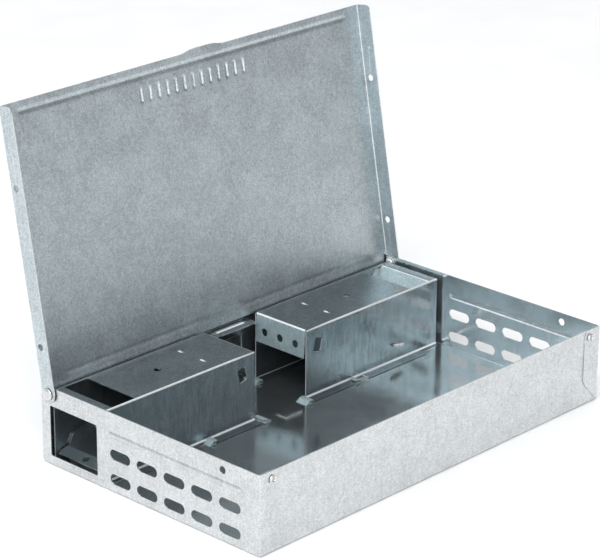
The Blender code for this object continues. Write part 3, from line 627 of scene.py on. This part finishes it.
# %% Cut the lid's ends and holes
TONGUE_HALF = 131.6 * MM
FLANGE_HOLES = (109.9 * MM, 25.4 * MM)
PIP_OUT = LENGTH / 2 + LID_CLEAR + 1.7 * MM
inner = LENGTH / 2 + LID_CLEAR - 0.03 * MM
rounding = block("rounding", (-OUT, 0, -8 * MM), (OUT, 9 * MM, 9 * MM))
cut(rounding, [bar("round_end", FLANGE_END, 2 * OUT, (0, 0, 0), X, 64)])
tools = [rounding, block("rear_edge", (-inner, 0.3 * MM, 2 * MM), (inner, 8 * MM, 8 * MM))]
for side in (-1, 1):
    edges = sorted((side * TONGUE_HALF, side * inner))
    tools.append(block("notch", (edges[0], -5 * MM, 2 * MM), (edges[1], 8 * MM, 8 * MM)))
for tool in tools:
    cut(lid, [tool])
balls = []
hollows = []
for side in (-1, 1):
    for radius, depth, made in ((2.2 * MM, 0.3 * MM, balls), (1.6 * MM, 2 * MM, hollows)):
        bpy.ops.object.select_all(action="DESELECT")
        bpy.ops.mesh.primitive_uv_sphere_add(segments=32, ring_count=16, radius=radius)
        ball = start("pip", (1, 1, 1), SNAP + X * side * PIP_OUT)
        with editing(ball):
            bpy.ops.mesh.select_all(action="SELECT")
            wall = side * (LENGTH / 2 + LID_CLEAR + depth)
            bpy.ops.mesh.bisect(plane_co=(wall, 0, 0), plane_no=(side, 0, 0), use_fill=True,
                                clear_outer=True)
        made.append(ball)
cut(lid, balls, "UNION")
cut(lid, hollows)
holes = [bar("hole", HINGE_HOLE, 2 * OUT, (0, 0, 0), X)]
holes += [bar("hole", HINGE_HOLE, 2 * OUT, (0, -reach, 0.2 * MM), X) for reach in FLANGE_HOLES]
cut(lid, holes)
dress_edges(lid)
lid.data.transform(Matrix.Translation(HINGE) @ Matrix.Rotation(-OPEN_ANGLE, 4, X))
belongs(lid, "lid", "galvanised_sheet", "lid")

# %% [markdown]
# ## The tunnel covers
# A cover is one folded blank: a front plate, a top, a rear plate, two feet and a lip at its
# inner end. The top is a plane, and its edges are extruded down and then out into the feet. The
# lip hangs from the middle of the inner edge, so the top is first scored on each side of it.

# %% Fold a tunnel cover
SEAT = SHEET + GAP
FOOT = 6.0 * MM
FOOT_ENDS = (LEFT + 18.0 * MM, LEFT + 68.0 * MM, LEFT + 77.5 * MM)
REAR_FOOT = LEFT + 58.0 * MM
LIP_LOW = 25.0 * MM
LIP_LEAN = 1.4 * MM
NIB_X = LEFT + 85.0 * MM
NIB_STEP = 8.5 * MM
WINDOW = (LEFT + 9.4 * MM, LEFT + 26.2 * MM)
FLAP_FOLD = WINDOW[0] + 0.2 * MM
FLAP_END = WINDOW[0] + 10.9 * MM

cover = flat("left_cover", (TUNNEL_OUTER, TUNNEL_FRONT), (TUNNEL_INNER, TUNNEL_REAR), TUNNEL_TOP)
with editing(cover, "EDGE"):
    score(lambda place, face: True, Y, [TUNNEL_FRONT + 1.1 * MM, TUNNEL_REAR - 1.1 * MM])
    fold(lambda place, edge: near(place.y, TUNNEL_FRONT),
         (0, 0, SEAT + SHEET - TUNNEL_TOP), (0, -FOOT, 0))
    fold(lambda place, edge: near(place.y, TUNNEL_REAR), (0, 0, SEAT - TUNNEL_TOP))
    score(lambda place, face: near(place.y, TUNNEL_REAR), X, [REAR_FOOT])
    fold(lambda place, edge: near(place.z, SEAT) and place.x > REAR_FOOT, (0, -FOOT, 0))
    fold(lambda place, edge: near(place.x, TUNNEL_INNER) and near(place.z, TUNNEL_TOP)
         and TUNNEL_FRONT + MM < place.y < TUNNEL_REAR - MM,
         (LIP_LEAN, 0, LIP_LOW - TUNNEL_TOP))

    def is_fold(place, edge):
        at_side = near(place.y, TUNNEL_FRONT) or near(place.y, TUNNEL_REAR)
        at_turn = any(near(place.z, turn) for turn in (TUNNEL_TOP, SEAT, SEAT + SHEET))
        at_lip = near(place.x, TUNNEL_INNER) and near(place.z, TUNNEL_TOP)
        return len(edge.link_faces) == 2 and at_turn and (at_side or at_lip)

    round_folds(is_fold, 0.8 * MM)
    for nib_y in (TUNNEL_MID - NIB_STEP, TUNNEL_MID + NIB_STEP):
        press_bead(lambda place, face: near(place.z, TUNNEL_TOP)
                   and (abs(place.x - NIB_X) < 12 * MM or face.calc_area() > 100 * MM * MM),
                   [Vector((NIB_X, nib_y + side * 2.2 * MM, TUNNEL_TOP)) for side in (-1, 1)],
                   Z * 0.4 * MM, 0.7 * MM)
thicken(cover)

flap = flat("flap", (WINDOW[0] - 0.3 * MM, TUNNEL_FRONT + 1.2 * MM),
            (FLAP_END, TUNNEL_REAR - 2.2 * MM), TUNNEL_TOP - 0.04 * MM)
with editing(flap):
    score(lambda place, face: True, X, [FLAP_FOLD])
    push(lambda place, _: near(place.x, FLAP_END), (0, 0, FLAP_FOLD - FLAP_END))
    round_folds(lambda place, edge: near(place.x, FLAP_FOLD), 0.45 * MM)
thicken(flap, SHEET - 0.08 * MM)

# %% [markdown]
# ## Punching the cover
# The top has a light window above the ramp's entrance and a round hole. The sheet cut free from
# the window stays on as a flap, bent down at its outer edge. The lip has three round holes, the
# front plate has a small slanted window, and both plates have a hole for the ramp's pivot wire.
# The slanted window's tool is a cuboid, turned before it is used. The front foot stops short of
# the side wall and is broken once, where a tab of the floor holds it.

# %% Punch the cover and mirror it
SLANT = math.radians(14)
PEEP = (LEFT + 103.8 * MM, TUNNEL_FRONT, 30.6 * MM)
LIP_HOLES = [(TUNNEL_INNER, TUNNEL_MID + step * 11.7 * MM, 31.6 * MM) for step in (-1, 0, 1)]

tools = [soft_block("light", (WINDOW[0], TUNNEL_FRONT + 0.8 * MM, TUNNEL_TOP - 4 * MM),
                    (WINDOW[1], TUNNEL_REAR - 1.9 * MM, TUNNEL_TOP + 4 * MM), Z, 0.5 * MM, 3),
         bar("top_hole", 2.0 * MM, 8 * MM, (LEFT + 59.5 * MM, TUNNEL_MID, TUNNEL_TOP), Z),
         bar("pivot_holes", 1.3 * MM, 60 * MM, RAMP, Y, 24)]
peep = soft_block("peep", (-3 * MM, -3 * MM, -4.1 * MM), (3 * MM, 3 * MM, 4.1 * MM), Y,
                  0.6 * MM, 4)
peep.data.transform(Matrix.Translation(PEEP) @ Matrix.Rotation(-SLANT, 4, Y))
tools.append(peep)
tools += [bar("lip_hole", 2.3 * MM, 6 * MM, place, X) for place in LIP_HOLES]
for low, high in ((LEFT, FOOT_ENDS[0]), FOOT_ENDS[1:]):
    tools.append(soft_block("foot_break", (low, TUNNEL_FRONT - FOOT - 3 * MM, 0),
                            (high, TUNNEL_FRONT - 0.9 * MM, 3 * MM), Z, 0.8 * MM, 4))
cut(cover, tools)
cut(cover, [flap], "UNION")
right_cover = mirrored(cover, "right_cover")
for piece, side_name in ((cover, "left"), (right_cover, "right")):
    dress_edges(piece, 0.16 * MM)
    belongs(piece, "base", "galvanised_inner_sheet", f"{side_name}_tunnel_cover")

# %% [markdown]
# ## The shelf on the rear wall
# Between the covers, a small angle closes the slit beside the hinge. It is a plane with its
# rear edge extruded down, and one short bead pressed upwards in its top.

# %% Fold the shelf
SHELF_TOP = 37.9 * MM
SHELF_BACK = REAR - SHEET - GAP
SHELF_HALF = 17.0 * MM

shelf = flat("shelf", (-SHELF_HALF, SHELF_BACK - 10.2 * MM), (SHELF_HALF, SHELF_BACK), SHELF_TOP)
with editing(shelf, "EDGE"):
    fold(lambda place, edge: near(place.y, SHELF_BACK), (0, 0, -9.0 * MM))
    round_folds(lambda place, edge: near(place.y, SHELF_BACK) and near(place.z, SHELF_TOP),
                0.9 * MM)
    press_bead(lambda place, face: near(place.z, SHELF_TOP),
               [Vector((side * 12.5 * MM, SHELF_BACK - 4.9 * MM, SHELF_TOP)) for side in (-1, 1)],
               Z * 0.5 * MM, 1.5 * MM)
thicken(shelf)
dress_edges(shelf)
belongs(shelf, "base", "galvanised_inner_sheet", "rear_shelf")

# %% [markdown]
# ## The ramps
# A ramp is a see-saw: a deck with an ear folded up at each side, turning on a wire. A steel
# weight under its entrance half brings it back. The deck is a level plane first. Its inner end
# is then raised to the slope, and its outer end is extruded down to the sill. The ears' top
# edge is shaped by lifting its points one by one.

# %% Fold a ramp
RAMP_SHEET = 0.4 * MM
RAMP_HALF = 18.2 * MM
SLOPE = 0.182
KINK = Vector((RAMP.x - 22.1 * MM, 0, RAMP.z - 2.2 * MM))
RAMP_INNER = RAMP.x + 78.0 * MM
EAR = (RAMP.x - 20.6 * MM, RAMP.x + 18.0 * MM)
EAR_STEPS = 14
EAR_BLANK = 3.0 * MM


def deck_height(x):
    """Height of the ramp's upper face."""
    return KINK.z + SLOPE * (x - KINK.x)


def ear_height(x):
    """Height of the ear's top edge: a round corner, a long rise, and a fall to the deck."""
    along = (x - EAR[0]) / (EAR[1] - EAR[0])
    rise = RAMP.z + 2.2 * MM + (x - EAR[0]) * 0.33
    corner = 1 - max(0.0, 1 - along / 0.06) ** 2
    fall = min(1.0, (1 - along) / 0.28) ** 0.6
    return deck_height(x) + (rise - deck_height(x)) * corner * fall


stations = [EAR[0] + (EAR[1] - EAR[0]) * step / EAR_STEPS for step in range(EAR_STEPS + 1)]
ramp = flat("left_ramp_sheet", (KINK.x, RAMP.y - RAMP_HALF), (RAMP_INNER, RAMP.y + RAMP_HALF),
            KINK.z)
with editing(ramp, "EDGE"):
    score(lambda place, face: True, X, stations)
    fold(lambda place, edge: near(abs(place.y - RAMP.y), RAMP_HALF) and EAR[0] < place.x < EAR[1],
         (0, 0, EAR_BLANK))
    for x in stations:
        push(lambda place, _: near(place.x, x) and near(place.z, KINK.z + EAR_BLANK),
             (0, 0, max(ear_height(x) - deck_height(x), 0.3 * MM) - EAR_BLANK))
    for x in stations + [RAMP_INNER]:
        push(lambda place, _: near(place.x, x), (0, 0, deck_height(x) - KINK.z))
    fold(lambda place, edge: near(place.x, KINK.x), (-6.5 * MM, 0, -2.4 * MM))
    round_folds(lambda place, edge: near(place.x, KINK.x) and near(place.z, KINK.z), 0.8 * MM)
thicken(ramp, RAMP_SHEET)
lobe_y = RAMP_HALF - RAMP_SHEET / 2 - 0.03 * MM
lobes = [bar("lobe", 2.6 * MM, RAMP_SHEET, RAMP + Y * side * lobe_y, Y) for side in (-1, 1)]
cut(ramp, lobes, "UNION")
cut(ramp, [bar("entry_hole", 2.0 * MM, 8 * MM, RAMP + Vector((-25.3 * MM, 0, -3.4 * MM)), Z),
           bar("wire_hole", 1.3 * MM, 60 * MM, RAMP, Y, 24)])
right_ramp = mirrored(ramp, "right_ramp_sheet")
for piece, side_name in ((ramp, "left"), (right_ramp, "right")):
    dress_edges(piece, 0.05 * MM)
    belongs(piece, f"{side_name}_ramp", "galvanised_inner_sheet", f"{side_name}_ramp")

# %% [markdown]
# ## Counterweights and pivot wires
# The weight is a sawn steel block whose top follows the slope of the deck. The wire is a
# filled circle extruded along the pivot line. Its front end is bent over with Spin, so that it
# can't slide out of the cover.

# %% Make the weights and the wires
WEIGHT = (RAMP.x - 21.5 * MM, RAMP.x - 1.8 * MM)
WIRE = 1.0 * MM
WIRE_FRONT = TUNNEL_FRONT - WIRE - GAP
WIRE_REAR = TUNNEL_REAR + 1.6 * MM
WIRE_LEG = 8.0 * MM
BEND_RADIUS = 1.1 * MM

under = RAMP_SHEET + GAP + 0.15 * MM
weight = block("left_weight", (WEIGHT[0], RAMP.y - 17.3 * MM, SHEET + 0.4 * MM),
               (WEIGHT[1], RAMP.y + 17.3 * MM, RAMP.z))
with editing(weight):
    for x in WEIGHT:
        push(lambda place, _: near(place.x, x) and near(place.z, RAMP.z),
             (0, 0, deck_height(x) - under - RAMP.z))
break_edges(weight, 0.35 * MM, 40, 3)
smooth(weight)

bpy.ops.object.select_all(action="DESELECT")
bpy.ops.mesh.primitive_circle_add(vertices=20, radius=WIRE, fill_type="NGON",
                                  rotation=(math.pi / 2, 0, 0))
wire = start("left_wire", (1, 1, 1), (RAMP.x, WIRE_REAR, RAMP.z))
slope = Vector((1, 0, SLOPE)).normalized()
with editing(wire):
    bpy.ops.mesh.select_all(action="SELECT")
    run = WIRE_REAR - WIRE_FRONT - BEND_RADIUS
    bpy.ops.mesh.extrude_region_move(TRANSFORM_OT_translate={"value": (0, -run, 0)})
    bend_centre = Vector((RAMP.x, WIRE_FRONT + BEND_RADIUS, RAMP.z)) + slope * BEND_RADIUS
    bpy.ops.mesh.spin(steps=8, angle=-math.pi / 2, center=bend_centre, axis=slope.cross(Y))
    bpy.ops.mesh.extrude_region_move(TRANSFORM_OT_translate={"value": slope * WIRE_LEG})
    bpy.ops.mesh.select_all(action="SELECT")
    bpy.ops.mesh.normals_make_consistent(inside=False)
break_edges(wire, 0.2 * MM, 60, 3)
smooth(wire)
for piece, node, finish in ((weight, "counterweight", "plain_steel"),
                            (wire, "pivot_wire", "bright_steel")):
    twin = mirrored(piece, piece.name.replace("left", "right"))
    belongs(piece, "left_ramp", finish, f"left_ramp_{node}")
    belongs(twin, "right_ramp", finish, f"right_ramp_{node}")

# %% [markdown]
# ## Writing shader maths
# A material is a graph of nodes. To keep the graphs readable, a small class wraps a socket, so
# that an expression such as 0.2 + 0.4 * speckle adds the Math nodes itself. A second class holds
# the material and has one method for every pattern that the finishes share.

# %% A class for sockets and one for graphs
class Number:
    """A number that varies over a surface: the output socket of a node."""

    def __init__(self, graph, socket):
        self.graph = graph
        self.socket = socket

    def math(self, operation, *values):
        inputs = dict(enumerate(values))
        return self.graph.node("ShaderNodeMath", {"operation": operation}, inputs)

    def __add__(self, other):
        return self.math("ADD", self, other)

    def __sub__(self, other):
        return self.math("SUBTRACT", self, other)

    def __mul__(self, other):
        return self.math("MULTIPLY", self, other)

    __radd__ = __add__
    __rmul__ = __mul__


class Graph:
    """A new material and the means to add nodes to it."""

    def __init__(self, name):
        self.material = bpy.data.materials.new(name)
        self.material.use_nodes = True
        self.tree = self.material.node_tree
        self.shader = self.tree.nodes["Principled BSDF"]

    def feed(self, socket, value):
        """Link a socket, or set its value."""
        if isinstance(value, Number):
            self.tree.links.new(value.socket, socket)
        else:
            socket.default_value = value

    def node(self, kind, settings=None, inputs=None, output=0):
        """Add a node: its settings first, then its sockets' values and links."""
        made = self.tree.nodes.new(kind)
        for key, value in (settings or {}).items():
            setattr(made, key, value)
        for key, value in (inputs or {}).items():
            self.feed(made.inputs[key], value)
        return Number(self, made.outputs[output])

    def place(self, stretch=(1, 1, 1)):
        """Object coordinates in millimetres, stretched along the axes."""
        where = self.node("ShaderNodeTexCoord", output="Object")
        return self.node("ShaderNodeMapping", None,
                         {"Vector": where, "Scale": [1000 * part for part in stretch]})

    def grain(self, size, stretch=(1, 1, 1), detail=2.0):
        """Soft noise with patches of a size in millimetres, spread to the whole of 0 to 1."""
        noise = self.node("ShaderNodeTexNoise", None,
                          {"Vector": self.place(stretch), "Scale": 1 / size, "Detail": detail})
        return self.node("ShaderNodeMapRange", {"interpolation_type": "SMOOTHSTEP"},
                         {"Value": noise, "From Min": 0.3, "From Max": 0.7})

    def crystals(self, size):
        """A different number from 0 to 1 in each zinc crystal."""
        cells = self.node("ShaderNodeTexVoronoi", {"feature": "F1"},
                          {"Vector": self.place(), "Scale": 1 / size}, "Color")
        return self.node("ShaderNodeSeparateColor", None, {"Color": cells})

    def tint(self, level, dark, light):
        """A colour between dark and light."""
        return self.node("ShaderNodeMix", {"data_type": "RGBA"},
                         {0: level, 6: (*dark, 1), 7: (*light, 1)}, 2)

    def relief(self, height, depth, under=None):
        """Bump of a depth in millimetres, on top of another bump if one is given."""
        inputs = {"Height": height, "Distance": depth * MM, "Strength": 1.0}
        if under is not None:
            inputs["Normal"] = under
        return self.node("ShaderNodeBump", None, inputs)


# %% [markdown]
# ## Galvanised sheet
# Zinc freezes on the steel in small crystals. Each one reflects a little differently, which gives
# the mottled grain. Over that lie soft clouds where the coat is thicker, faint lines from the
# rollers, and a slight waviness of the thin sheet, which bends the reflections. One function
# makes every sheet finish. The outer sheets are paler and more matt. The darker tones inside the
# pan and on the covers are painted shade, the lighter matt tone of the lips is painted light, and
# the pale finish of bends and cut edges is a painted highlight.

# %% A function for every galvanised finish
def galvanised(name, dark, light, gloss, mottle, tooth, lined=0.16, bare=1.0):
    """Zinc-coated sheet: gloss is (low, high) roughness, mottle how strongly crystals show.

    The tooth is the depth in millimetres of the fine grain in the surface, and lined is how
    strongly the rollers' marks show. Below 1, bare mixes in a matt share of the base colour,
    which the lamps light.
    """
    graph = Graph(name)
    fine = graph.crystals(0.7)
    coarse = graph.crystals(1.8)
    speckle = graph.grain(0.5, detail=3.0)
    clouds = graph.grain(16.0, detail=3.0)
    lines = graph.grain(1.1, (1, 1, 0.12), detail=3.0)
    level = 0.5 + (fine - 0.5) * mottle + (coarse - 0.5) * (mottle * 0.35)
    level = level + (speckle - 0.5) * mottle + (clouds - 0.5) * 0.2 + (lines - 0.5) * lined
    graph.feed(graph.shader.inputs["Base Color"], graph.tint(level, dark, light))
    spread = gloss[1] - gloss[0]
    rough = gloss[0] + spread * (0.2 + 0.4 * speckle + 0.4 * clouds)
    graph.feed(graph.shader.inputs["Roughness"], rough)
    waves = graph.relief(graph.grain(38.0, detail=1.0), 0.14)
    graph.feed(graph.shader.inputs["Normal"], graph.relief(speckle, tooth, waves))
    graph.shader.inputs["Metallic"].default_value = bare
    return graph.material


finishes = {
    "outer": galvanised("zinc_outer", (0.48, 0.495, 0.50), (0.80, 0.825, 0.83),
                        gloss=(0.28, 0.44), mottle=0.5, tooth=0.006),
    "lid": galvanised("zinc_lid", (0.37, 0.42, 0.44), (0.74, 0.81, 0.84),
                      gloss=(0.30, 0.46), mottle=0.45, tooth=0.006),
    # Painted shade: the pan's inner faces, the ramps and the floor clip take a darker tone than
    # the outer faces of the same sheet. Their lower roughness is real.
    "pan_inside": galvanised("zinc_pan_inside", (0.42, 0.465, 0.48), (0.66, 0.715, 0.735),
                             gloss=(0.09, 0.2), mottle=0.3, tooth=0.0015, lined=0.3, bare=0.93),
    # Painted shade: a much darker tone of the same sheet for the tunnel covers and the shelf,
    # standing in for their dark reflections.
    "inner": galvanised("zinc_inner", (0.23, 0.27, 0.285), (0.42, 0.48, 0.505),
                        gloss=(0.14, 0.26), mottle=0.45, tooth=0.002, lined=0.5, bare=0.93),
    # Painted light: a lighter, mostly matt copy of the cover sheet, which the lamps brighten, for
    # the covers' lips and flaps and the floor's tabs.
    "lip": galvanised("zinc_lip", (0.24, 0.31, 0.33), (0.46, 0.57, 0.60),
                      gloss=(0.30, 0.45), mottle=0.5, tooth=0.005, lined=0.2, bare=0.3),
    # Painted highlight: a pale finish for the narrow faces along bends and cut edges.
    "edge": galvanised("zinc_edge", (0.68, 0.70, 0.71), (0.92, 0.94, 0.94),
                       gloss=(0.26, 0.40), mottle=0.3, tooth=0.003, lined=0.2, bare=0.5),
}
print("sheet finishes:", ", ".join(finishes))

# %% [markdown]
# ## Rivets, wire and the weights
# Rivets and wire are zinc-plated: brighter than the sheet, with fine turning or drawing marks.
# The weights are plain sawn steel, darker and rough, with a trace of brown.

# %% Bright and plain steel
def bright_steel(name):
    """Plated wire and rivets."""
    graph = Graph(name)
    marks = graph.grain(0.35, detail=3.0)
    stain = graph.grain(2.2, detail=2.0)
    graph.feed(graph.shader.inputs["Base Color"],
               graph.tint(marks * 0.5 + stain * 0.5, (0.52, 0.53, 0.53), (0.84, 0.84, 0.82)))
    graph.feed(graph.shader.inputs["Roughness"], 0.16 + 0.16 * stain)
    graph.feed(graph.shader.inputs["Normal"], graph.relief(marks, 0.006))
    graph.shader.inputs["Metallic"].default_value = 0.8
    return graph.material


def sawn_steel(name):
    """Plain steel with saw lines and a thin brown film."""
    graph = Graph(name)
    saw = graph.grain(0.4, (1, 0.1, 1), detail=3.0)
    film = graph.grain(5.0, detail=3.0)
    graph.feed(graph.shader.inputs["Base Color"],
               graph.tint(film * 0.7 + saw * 0.3, (0.20, 0.15, 0.12), (0.40, 0.39, 0.38)))
    graph.feed(graph.shader.inputs["Roughness"], 0.38 + 0.25 * film)
    graph.feed(graph.shader.inputs["Normal"], graph.relief(saw, 0.02))
    graph.shader.inputs["Metallic"].default_value = 0.9
    return graph.material


finishes["bright"] = bright_steel("plated_steel")
finishes["plain"] = sawn_steel("sawn_steel")
print(len(finishes), "finishes in all")

# %% [markdown]
# ## Giving each piece its finish
# A mesh can hold several materials, and each face has the number of the one that it shows. The
# pan is pale outside, and shinier and darker inside, where the darker tone is painted shade. On
# the covers, the lips and flaps get a lighter, more matt tone, which is painted light. The narrow
# faces along bends and cut edges get the brightest finish, a painted highlight for the light that
# they catch on real sheet.

# %% Choose the finish of every face
def coat(finish, *pieces):
    """Give pieces one finish."""
    for piece in pieces:
        piece.data.materials.clear()
        piece.data.materials.append(finishes[finish])


def is_inside(place):
    """True on the floor's top and on the walls' inner faces."""
    return (abs(place.x) < LENGTH / 2 - SHEET / 2 and abs(place.y) < WIDTH / 2 - SHEET / 2
            and place.z > SHEET / 2)


def is_narrow(face, mesh):
    """True for the long narrow faces of a bend or a cut edge."""
    points = [mesh.vertices[index].co for index in face.vertices]
    longest = max((a - b).length for a, b in zip(points, points[1:] + points[:1]))
    slanted = max(abs(part) for part in face.normal) < 0.985
    narrow = longest > 2 * MM and face.area / longest < 0.65 * MM
    return narrow and (slanted or abs(face.normal.x) > 0.9)


coat("outer", pan, hem, *corner_tabs)
# Painted shade: faces inside the pan take the darker inner tone.
pan.data.materials.append(finishes["pan_inside"])
for face in pan.data.polygons:
    face.material_index = int(is_inside(face.center))
coat("lid", lid)
# Painted highlight: the narrow faces along the lid's bends take the pale edge finish.
lid.data.materials.append(finishes["edge"])
for face in lid.data.polygons:
    beside_bend = abs(abs(face.center.x) - LID_HALF) < 1.6 * MM
    face.material_index = int(beside_bend and is_narrow(face, lid.data))
# Painted shade: the ramps and the floor clip take the darker inner tone.
coat("pan_inside", ramp, right_ramp)
# Painted light: the floor's tabs take the lighter, matt tone.
coat("lip", *tabs)
coat("pan_inside", clip)
# Painted shade: the covers and the shelf take the darkest tone.
coat("inner", cover, right_cover, shelf)
# Slot 1 paints light on the lips and flaps. Slot 2 paints a highlight on the narrow faces of
# bends and cut edges.
for piece in (cover, right_cover, shelf):
    piece.data.materials.append(finishes["lip"])
    piece.data.materials.append(finishes["edge"])
    for face in piece.data.polygons:
        past_tunnel = abs(face.center.x) < -TUNNEL_INNER and face.center.z < TUNNEL_TOP - MM
        on_lip = past_tunnel and piece is not shelf
        on_flap = 0.6 < abs(face.normal.x) < 0.8 and 0.6 < abs(face.normal.z) < 0.8
        face.material_index = 2 if is_narrow(face, piece.data) else int(on_lip or on_flap)
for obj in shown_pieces():
    if any(word in obj.name for word in ("rivet", "washer", "wire")):
        coat("bright", obj)
    if "weight" in obj.name:
        coat("plain", obj)

# %% [markdown]
# ## The table
# The trap stands on a wide, matt, white table, which the outer walls mirror.

# %% Lay the table
bpy.ops.object.select_all(action="DESELECT")
bpy.ops.mesh.primitive_plane_add(size=1)
table = start("table", (9, 9, 1), (0, 0, -0.0002))
paint = Graph("white_table")
paint.feed(paint.shader.inputs["Base Color"],
           paint.tint(paint.grain(60.0, detail=2.0), (0.93, 0.93, 0.93), (0.96, 0.96, 0.96)))
paint.shader.inputs["Roughness"].default_value = 0.9
table.data.materials.append(paint.material)
print("table laid")

# %% [markdown]
# ## The room and its lights
# Bare metal shows what stands round it, so the room matters as much as the finish. It is pale
# grey but dark at the front right, which keeps the polished inner sheets dark, as a photographer
# does with a black card. The dot product says how far a direction looks towards the dark part.
# Large soft lights hang over the left front corner and overhead, and a low one stands in front.

# %% Light the room
DARK_WAY = Vector((0.62, -0.66, 0.42)).normalized()
ROOM = (("From Min", 0.45), ("From Max", 0.9), ("To Min", 0.66), ("To Max", 0.27))
LAMP_AIM = Vector((0, 0, 0.05))

world = bpy.data.worlds.new("studio")
world.use_nodes = True
sky = world.node_tree
sky.nodes["Background"].inputs["Color"].default_value = (0.95, 0.97, 1.0, 1)
way = sky.nodes.new("ShaderNodeTexCoord")
toward = sky.nodes.new("ShaderNodeVectorMath")
toward.operation = "DOT_PRODUCT"
toward.inputs[1].default_value = DARK_WAY
shade = sky.nodes.new("ShaderNodeMapRange")
shade.interpolation_type = "SMOOTHSTEP"
for name, value in ROOM:
    shade.inputs[name].default_value = value
sky.links.new(way.outputs["Generated"], toward.inputs[0])
sky.links.new(toward.outputs["Value"], shade.inputs["Value"])
sky.links.new(shade.outputs["Result"], sky.nodes["Background"].inputs["Strength"])
bpy.context.scene.world = world


def lamp(name, place, size, power):
    """A square soft light aimed at the trap."""
    bpy.ops.object.light_add(type="AREA", location=place)
    light = bpy.context.active_object
    light.name = name
    light.data.size = size
    light.data.energy = power
    light.rotation_euler = (LAMP_AIM - Vector(place)).to_track_quat("-Z", "Y").to_euler()
    print(name, "light of", power, "watts")


lamp("key", (-1.3, -0.9, 1.5), 1.8, 29)
lamp("top", (0.1, 0.3, 1.8), 3.2, 22)
lamp("front", (-0.3, -1.8, 0.25), 0.4, 4.0)

# %% [markdown]
# ## The camera
# The camera looks down over the left front corner. It stands well back with a long lens, which
# keeps the box's sides almost parallel. Its turn is built from the directions that it looks
# along and holds upright.

# %% Set up the camera
CAMERA_PLACE = (-0.9729, -0.9009, 0.6081)
CAMERA_AIM = Vector((0.6757, 0.6399, -0.3660))
CAMERA_UP = Vector((0.2615, 0.2562, 0.9306))
view_side = CAMERA_AIM.cross(CAMERA_UP).normalized()
view_up = view_side.cross(CAMERA_AIM).normalized()
view_turn = Matrix((view_side, view_up, -CAMERA_AIM.normalized()))
camera_data = bpy.data.cameras.new("camera")
camera_data.lens = 161.4
camera_data.sensor_width = 36.0
camera_data.clip_start = 0.05
camera = bpy.data.objects.new("camera", camera_data)
bpy.context.scene.collection.objects.link(camera)
camera.location = CAMERA_PLACE
camera.rotation_euler = view_turn.transposed().to_euler()
bpy.context.scene.camera = camera
bpy.context.scene.view_settings.view_transform = "Standard"
print("camera", round(Vector(CAMERA_PLACE).length, 2), "m from the trap")

# %% [markdown]
# ## Finish

# %% Finish
print("scene built")
